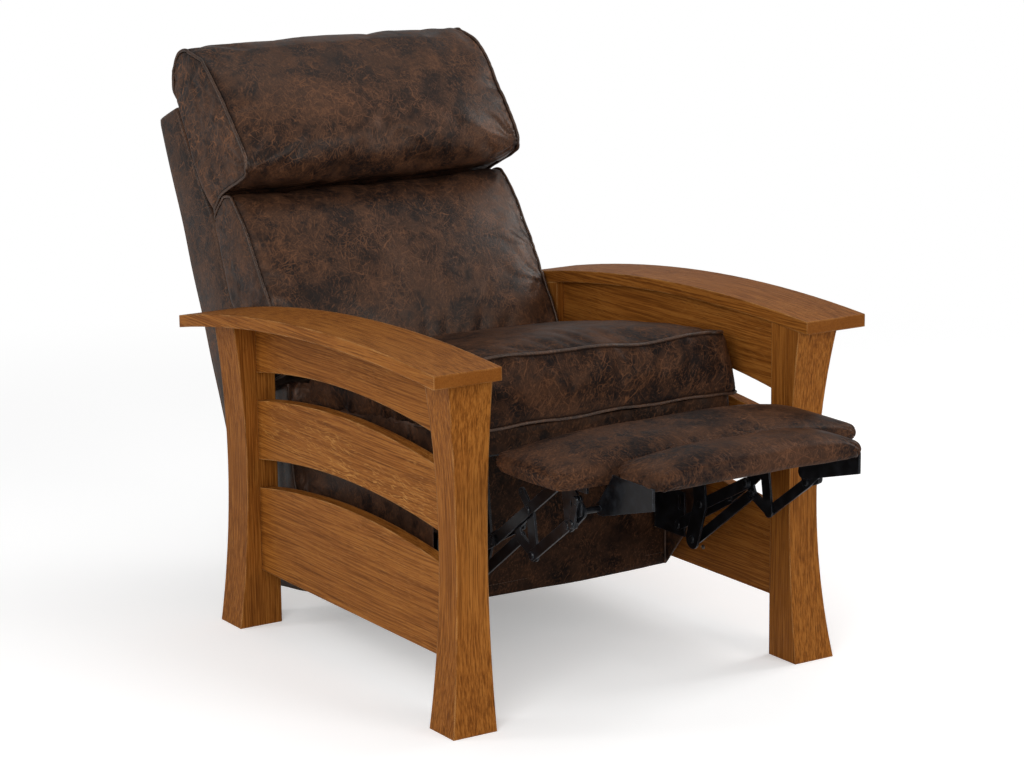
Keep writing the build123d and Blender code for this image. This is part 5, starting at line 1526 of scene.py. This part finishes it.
class RECLINER_OT_side_covers(bpy.types.Operator):
    """Leather over the sides of the seat box, gathered at its welt"""

    bl_idname = "recliner.side_covers"
    bl_label = "Side covers"

    def execute(self, context):
        sizes = context.scene.recliner_sizes
        front, apron, legs, rear = 0.165, 0.235, 0.335, 0.781
        arm_bottom, apron_bottom, front_bottom, rear_bottom = 0.412, 0.225, 0.108, 0.050
        middle_fall, calm_run, block_z, flap = 0.057, 0.016, 0.18, 0.009
        back_edge, welt_y = 0.655, 0.714
        split = 0.8

        def bottom(y):
            if y < legs:
                return front_bottom + (apron_bottom - front_bottom) * (legs - y) / (legs - apron)
            return front_bottom + (rear_bottom - front_bottom) * (y - legs) / (rear - legs)

        def middle(y):
            return arm_bottom - middle_fall * max(y - legs, 0) / (rear - legs)

        def top(y):
            return float(np.interp(y, (front, back_edge, welt_y, 0.750, rear),
                                   (0.449, 0.449, 0.442, 0.430, 0.414)))

        def height(y, share):
            if share < split:
                return bottom(y) + (middle(y) - bottom(y)) * share / split
            return middle(y) + (top(y) - middle(y)) * (share - split) / (1 - split)

        welt_line = [(0.716, top(0.716) - 0.002), (welt_y, 0.36), (0.708, 0.260), (0.695, 0.229),
                     (0.686, 0.150), (0.680, 0.075)]
        roots = ((0.708, 0.412, -24, 62, 13.0, 0.0105, 0.12), (0.702, 0.268, -78, 12, 12.0, 0.0105, 0.12),
                 (0.285, 0.400, 90, 200, 9.0, 0.004, 0.05))

        def bulge(y, z):
            """How far the leather stands off the board, in folds that run from the welt."""
            out = 0.0018 * (1 + math.sin(21 * y + 13 * z)) * 0.5
            out += 0.0045 * (1 - ease((y - 0.714) / 0.040)) * (1 - ease((0.710 - y) / 0.030))
            for root_y, root_z, low_angle, high_angle, turns, depth, reach in roots:
                off = np.array((root_y - y, z - root_z))
                radius = math.hypot(*off)
                angle = math.degrees(math.atan2(off[1], off[0])) % 360
                angle -= 360 if angle > 270 else 0
                spread = ease((angle - low_angle) / 12) * ease((high_angle - angle) / 12)
                ridge = 1 - 1.25 * abs(math.cos(math.radians(angle * turns / 2 * 1.3) + 9 * radius)) ** 5
                out += depth * ridge * spread * math.exp(-(radius / reach) ** 2) * ease(radius / 0.022)
            return out

        def place_for(side):
            def place(y, share):
                low = arm_bottom if y < apron else bottom(y)
                high, z = top(y), height(y, share)
                calm = ease(min(z - low, 3 * (high - z), y - front, rear - y) / calm_run)
                for block_y in (0.22, 0.8):
                    block = legs + (rear - legs) * block_y
                    calm *= ease(math.hypot((y - block) / 0.06, (z - block_z) / 0.07) - 0.7)
                edge = flap * ease((y - 0.75) / 0.03) * ease((z - 0.25) / 0.03)
                return np.array((side * (COVER_X + calm * bulge(y, z)), y + edge + FRONT_Y, z))
            return place

        columns = steps(front, rear, 0.0048, (apron, legs, back_edge, welt_y))
        rows = steps(0.0, 1.0, 0.024, (split,))
        area = 0
        for low, high in zip(columns, columns[1:]):
            y = (low + high) / 2
            area += (high - low) * (top(y) - (arm_bottom if y < apron else bottom(y)))
        for side, label in ((-1, "left"), (1, "right")):
            piece = leather_sheet(
                f"side_cover_{label}", columns, rows, place_for(side), LEATHER_THICK,
                lambda y, share: y < apron and share < split)
            dress(piece, "base", "leather", finish("leather_panels"))
            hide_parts("side_covers")
            top(front) - rear_bottom
            points = [np.array((side * (COVER_X + 0.0012 + bulge(y, z)), y + FRONT_Y, z))
                      for y, z in smooth_line(welt_line, 40)]
            welt(f"side_cover_welt_{label}", [(points, False)], sizes.welt_radius, finish("leather_welt"),
                 "base", "leather")
        return {"FINISHED"}


class RECLINER_OT_back_shell(bpy.types.Operator):
    """Leather over the outside of the back, piped along its front edges"""

    bl_idname = "recliner.back_shell"
    bl_label = "Back shell"

    def execute(self, context):
        sizes = context.scene.recliner_sizes
        side_full, rear_full, top_full = 0.0035, 0.006, 0.003
        lip_from, lip = 9 / 14, ((0, 0.2, 0.4, 0.6, 0.8, 1), (0, 0.002, 0.007, 0.013, 0.0155, 0.0155),
                                 (0.008, 0.0024, 0, 0.0004, 0.004, 0.014))

        def place(u, v, w):
            turn = max(v - lip_from, 0) / (1 - lip_from)
            inset, back = np.interp(turn, lip[0], lip[1]), np.interp(turn, lip[0], lip[2])
            up = SHELL_TAIL + (SHELL_TOP - inset - SHELL_TAIL) * w
            along = min(v / lip_from, 1)
            forward = (shell_front(up) - back) * along if turn == 0 else shell_front(up) - back
            x = (SHELL_HALF - inset) * u
            swelling = math.sin(math.pi * along) ** 0.8
            side_pad = side_full * swelling * math.sin(math.pi * min(w * 1.02, 1)) ** 0.4
            rear_pad = rear_full * (1 - abs(u) ** 4) * math.sin(math.pi * w) ** 0.5
            if abs(u) == 1:
                x += math.copysign(side_pad, u)
            if v == 0:
                forward -= rear_pad
            if w == 1:
                up += top_full * math.sin(math.pi * along) * (1 - abs(u) ** 6)
            return on_back(x, up, forward)

        box = Lattice("back_shell_leather", (42, 14, 50), place, "left right rear top")
        across, deep, high = box.counts
        refine(box.piece)
        soften(box.piece, 121, 0.0009, 0.16)
        cord_rise, seam_rise, shell_wall = 0.0012, 0.0002, 0.0035
        row = deep - 2
        edge = [box.index[0, row, k] for k in range(high + 1)]
        edge += [box.index[i, row, high] for i in range(1, across)]
        edge += [box.index[across, row, k] for k in range(high, -1, -1)]
        line = raised(box.piece, edge, cord_rise)
        rear_lines = []
        for i in (0, across):
            indices = [box.index[i, 0, k] for k in range(high + 1)]
            rear_lines.append((raised(box.piece, indices, seam_rise), False))
        give_wall(box.piece, shell_wall)
        shade_smooth(box.piece)
        dress(box.piece, "back", "leather", finish("leather_shell"))
        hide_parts("back_shell")
        cords = (("back_shell_welt", [(line, False)], 0.65), ("back_shell_seams", rear_lines, 0.6))
        for name, lines, share in cords:
            welt(name, lines, sizes.welt_radius * share, finish("leather_welt"), "back", "leather")
        return {"FINISHED"}


class RECLINER_OT_deck_and_straps(bpy.types.Operator):
    """Cloth over the deck and elastic straps in the seat and back"""

    bl_idname = "recliner.deck_and_straps"
    bl_label = "Deck and straps"

    def execute(self, context):
        low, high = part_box("seat_deck")
        sag_depth, settle, cell, cloth_thick = 0.0012, 0.0003, 0.02, 0.0015

        def deck_place(x, y):
            sag = sag_depth * (1 - (x / high.x) ** 2) * math.sin(math.pi * (y - low.y) / (high.y - low.y))
            return np.array((x, y, deck(y - FRONT_Y) - sag - settle))

        piece = leather_sheet(
            "deck_cloth", steps(low.x, high.x, cell), steps(low.y, high.y, cell), deck_place, cloth_thick)
        dress(piece, "base", "deck_cloth", finish("deck_cloth"))
        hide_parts("seat_deck")
        self.straps("seat_straps", "seat_webbing", "base", 6)
        self.straps("back_straps", "back_webbing", "back", 5)
        return {"FINISHED"}

    def straps(self, name, node, body, count):
        """Replaces the straps of one node by woven ones that sag a little."""
        low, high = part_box(node)
        points, faces = [], []
        width, thick, sag_depth = 0.05, 0.0018, 0.0008
        columns, strips = 40, 4
        if node == "seat_webbing":
            start, end = DECK_FRONT[0] + 0.025, DECK_REAR[0] - 0.018
            way = np.array((0, end - start, deck(end) - deck(start)))
            origin = np.array((0, start + FRONT_Y, deck(start) - 0.004))
            normal = np.array((0, -way[2], way[1]))
        else:
            start, end, forward = 0.015, 0.588, 0.065
            way = on_back(0, end, forward) - on_back(0, start, forward)
            origin = on_back(0, start, forward)
            normal = OUT_WAY
        span = np.linalg.norm(way)
        way = way / span
        normal = normal / np.linalg.norm(normal)
        for index in range(count):
            middle = origin + way * span * (index + 0.5) / count
            first = len(points)
            for n in range(columns + 1):
                x = low.x + (high.x - low.x) * n / columns
                sag = -sag_depth * math.sin(math.pi * n / columns)
                for m in range(strips + 1):
                    offset = way * width * (m / strips - 0.5)
                    points.append(np.array((x, 0, 0)) + middle + offset + normal * sag)
            for n in range(columns):
                for m in range(strips):
                    at = first + n * (strips + 1) + m
                    faces.append((at, at + strips + 1, at + strips + 2, at + 1))
        piece = new_piece(name, points, faces)
        give_wall(piece, thick, 0)
        face_outwards(piece)
        dress(piece, body, "webbing", finish("webbing"))
        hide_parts(node)


def screw_head():
    """Pan-head screw with a cross recess, facing up."""
    rings = [(0.0, -0.0006), (0.0042, -0.0006), (0.0042, 0.0008), (0.0036, 0.0018), (0.0022, 0.0024),
             (0.0015, 0.0024), (0.0010, 0.0012), (0.0, 0.0010)]
    sides = 16
    points, faces = [], []
    for radius, z in rings:
        for n in range(sides):
            angle = 2 * math.pi * n / sides
            cross = 1 if radius > 0.002 else 0.72 + 0.28 * math.cos(4 * angle)
            points.append((radius * cross * math.cos(angle), radius * cross * math.sin(angle), z))
    for ring in range(len(rings) - 1):
        for n in range(sides):
            a, b = ring * sides + n, ring * sides + (n + 1) % sides
            faces.append((a, b, b + sides, a + sides))
    piece = new_piece("screw_head_pattern", points, faces)
    rework(piece, lambda work: bmesh.ops.remove_doubles(work, verts=work.verts, dist=1e-6))
    face_outwards(piece)
    shade_smooth(piece)
    return piece


class RECLINER_OT_screws(bpy.types.Operator):
    """Pan-head screws through the mechanism's plates and flanges"""

    bl_idname = "recliner.screws"
    bl_label = "Screws"

    def execute(self, context):
        size = context.scene.recliner_sizes.screw_size
        head = screw_head()
        bracket_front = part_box("pad_brackets")[0].y
        flange, board, plate = 0.003, 0.020, 0.0045
        bracket_x, tuck_x = 0.205, 0.170
        rows = [
            ("bracket_screws", "footrest", (0, 0, -1), [
                (side * bracket_x, bracket_front + run, MAIN_PAD_BOX[0].z - flange)
                for side in (-1, 1) for run in (0.03, 0.09, 0.15)]),
            ("tuck_screws", "flipper", (0, 0, -1), [
                (side * tuck_x, FRONT_PAD_BOX[0].y + run, FRONT_PAD_BOX[0].z - flange)
                for side in (-1, 1) for run in (0.045, 0.085)]),
        ]
        for side, label in ((-1, "left"), (1, "right")):
            inner = (BOARD_X - board - plate) * side
            rows.append((f"plate_screws_{label}", "base", (-side, 0, 0), [
                (inner, y + FRONT_Y, z) for z in (0.192, 0.248) for y in (0.345, 0.405)]))
        for name, body, facing, places in rows:
            piece = new_piece(name, places, [])
            grow(piece, fastener_tree, {
                "Head": head, "Size": size, "Facing": facing, "Turn seed": 3,
                "Material": finish("bright_steel"),
            })
            dress(piece, body, "bright_steel", finish("bright_steel"))
        bpy.data.objects.remove(head)
        return {"FINISHED"}


def lamp(name, place, target, size, power):
    """A soft rectangular lamp aimed at a point."""
    data = bpy.data.lights.new(name, "AREA")
    data.shape = "RECTANGLE"
    data.size, data.size_y = size
    data.energy = power
    light = bpy.data.objects.new(name, data)
    light.location = place
    light.rotation_euler = (Vector(target) - Vector(place)).to_track_quat("-Z", "Y").to_euler()
    bpy.context.scene.collection.objects.link(light)


class RECLINER_OT_stage(bpy.types.Operator):
    """Pale floor, soft studio light and the camera"""

    bl_idname = "recliner.stage"
    bl_label = "Stage"

    def execute(self, context):
        scene = context.scene
        colours = scene.recliner_colours
        corners = [(x * FLOOR_REACH, y * FLOOR_REACH, 0) for x, y in ((-1, -1), (1, -1), (1, 1), (-1, 1))]
        floor = new_piece("studio_floor", corners, [(0, 1, 2, 3)])
        material, tree, shader, spot = bare_material("studio_floor", Roughness=0.9, Specular_IOR_Level=0.1)
        shader.inputs["Base Color"].default_value = colours.floor
        seen = tree.nodes.new("ShaderNodeLightPath").outputs["Is Camera Ray"]
        away = put(tree, "ShaderNodeVectorMath", {0: spot["Object"]}, operation="LENGTH").outputs["Value"]
        far = remap(tree, away, 1.1, 3.2, 0.0, 1.0, smooth=True)
        white = put(tree, "ShaderNodeEmission", {"Color": (1, 1, 1, 1), "Strength": 1.0})
        lifted = put(tree, "ShaderNodeEmission", {"Color": (1, 1, 1, 1), "Strength": 0.30})
        pale = put(tree, "ShaderNodeBsdfDiffuse", {"Color": (0.95, 0.95, 0.95, 1)})
        near = put(tree, "ShaderNodeAddShader", {0: pale.outputs[0], 1: lifted.outputs[0]})
        backdrop = put(tree, "ShaderNodeMixShader", {0: far, 1: near.outputs[0], 2: white.outputs[0]})
        mixed = put(tree, "ShaderNodeMixShader", {0: seen, 1: shader.outputs[0], 2: backdrop.outputs[0]})
        tree.links.new(mixed.outputs[0], tree.nodes["Material Output"].inputs["Surface"])
        floor.data.materials.append(material)

        world = bpy.data.worlds.new("studio")
        world.use_nodes = True
        scene.world = world
        tree = world.node_tree
        tree.nodes.clear()
        path = tree.nodes.new("ShaderNodeLightPath").outputs
        soft = put(tree, "ShaderNodeBackground", {"Color": (1, 1, 1, 1), "Strength": 0.38})
        bright = put(tree, "ShaderNodeBackground", {"Color": (1, 1, 1, 1), "Strength": 1.0})
        direct = math_of(tree, "MAXIMUM", path["Is Camera Ray"], path["Is Transmission Ray"])
        sky = put(tree, "ShaderNodeMixShader", {0: direct, 1: soft.outputs[0], 2: bright.outputs[0]})
        out = tree.nodes.new("ShaderNodeOutputWorld")
        tree.links.new(sky.outputs[0], out.inputs["Surface"])

        for name, place, size, power in (
            ("key_lamp", (-2.65, -2.65, 1.9), (2.0, 2.0), 68),
            ("front_lamp", (1.3, -3.6, 1.6), (1.6, 1.6), 34),
            ("right_lamp", (3.0, -0.2, 1.9), (1.2, 2.2), 42),
            ("top_lamp", (0.2, 0.4, 3.4), (2.2, 2.2), 12),
            ("left_strip", (-2.8, 1.2, 1.5), (0.7, 2.2), 18),
        ):
            lamp(name, place, (0, 0, 0.5), size, power)

        yaw, pitch, roll = CAMERA_YAW, CAMERA_PITCH, CAMERA_ROLL
        ahead = Vector((math.sin(yaw) * math.cos(pitch), math.cos(yaw) * math.cos(pitch), math.sin(pitch)))
        flat_right = Vector((math.cos(yaw), -math.sin(yaw), 0))
        flat_up = flat_right.cross(ahead)
        right = math.cos(roll) * flat_right + math.sin(roll) * flat_up
        above = -math.sin(roll) * flat_right + math.cos(roll) * flat_up
        data = bpy.data.cameras.new("photo_camera")
        data.sensor_width = SENSOR_WIDTH
        data.lens = CAMERA_FOCUS / PHOTO_WIDTH * SENSOR_WIDTH
        data.clip_end = 200
        camera = bpy.data.objects.new("photo_camera", data)
        turn = Matrix((right, above, -ahead)).transposed().to_4x4()
        stand = Vector(CAMERA_PLACE) + Vector((0, FRONT_Y, 0))
        camera.matrix_world = Matrix.Translation(stand) @ turn
        scene.collection.objects.link(camera)
        scene.camera = camera
        scene.view_settings.view_transform = "Standard"
        return {"FINISHED"}


OPERATORS = (
    RECLINER_OT_stage, RECLINER_OT_oak_frame, RECLINER_OT_mechanism, RECLINER_OT_inner_frame,
    RECLINER_OT_seat_cushion, RECLINER_OT_lumbar_pillow, RECLINER_OT_head_pillow,
    RECLINER_OT_footrest_pads, RECLINER_OT_front_border, RECLINER_OT_skirt, RECLINER_OT_side_covers,
    RECLINER_OT_back_shell, RECLINER_OT_deck_and_straps, RECLINER_OT_screws,
)


class RECLINER_PT_panel(bpy.types.Panel):
    """Lists the chair's settings and its makers"""

    bl_idname = "RECLINER_PT_panel"
    bl_label = "Mission recliner"
    bl_space_type = "VIEW_3D"
    bl_region_type = "UI"
    bl_category = "Recliner"

    def draw(self, context):
        for settings in (context.scene.recliner_sizes, context.scene.recliner_colours):
            column = self.layout.column(align=True)
            for name in settings.__annotations__:
                column.prop(settings, name)
        column = self.layout.column(align=True)
        for operator in OPERATORS:
            column.operator(operator.bl_idname)


CLASSES = (ReclinerSizes, ReclinerColours, *OPERATORS, RECLINER_PT_panel)


def register():
    """Registers the settings, operators and panel."""
    for item in CLASSES:
        bpy.utils.register_class(item)
    bpy.types.Scene.recliner_sizes = bpy.props.PointerProperty(type=ReclinerSizes)
    bpy.types.Scene.recliner_colours = bpy.props.PointerProperty(type=ReclinerColours)


def unregister():
    """Takes them all away again."""
    del bpy.types.Scene.recliner_colours
    del bpy.types.Scene.recliner_sizes
    for item in reversed(CLASSES):
        bpy.utils.unregister_class(item)


def main():
    """Makes every piece."""
    register()
    for operator in OPERATORS:
        area, name = operator.bl_idname.split(".")
        getattr(getattr(bpy.ops, area), name)()


if __name__ == "__main__":
    main()
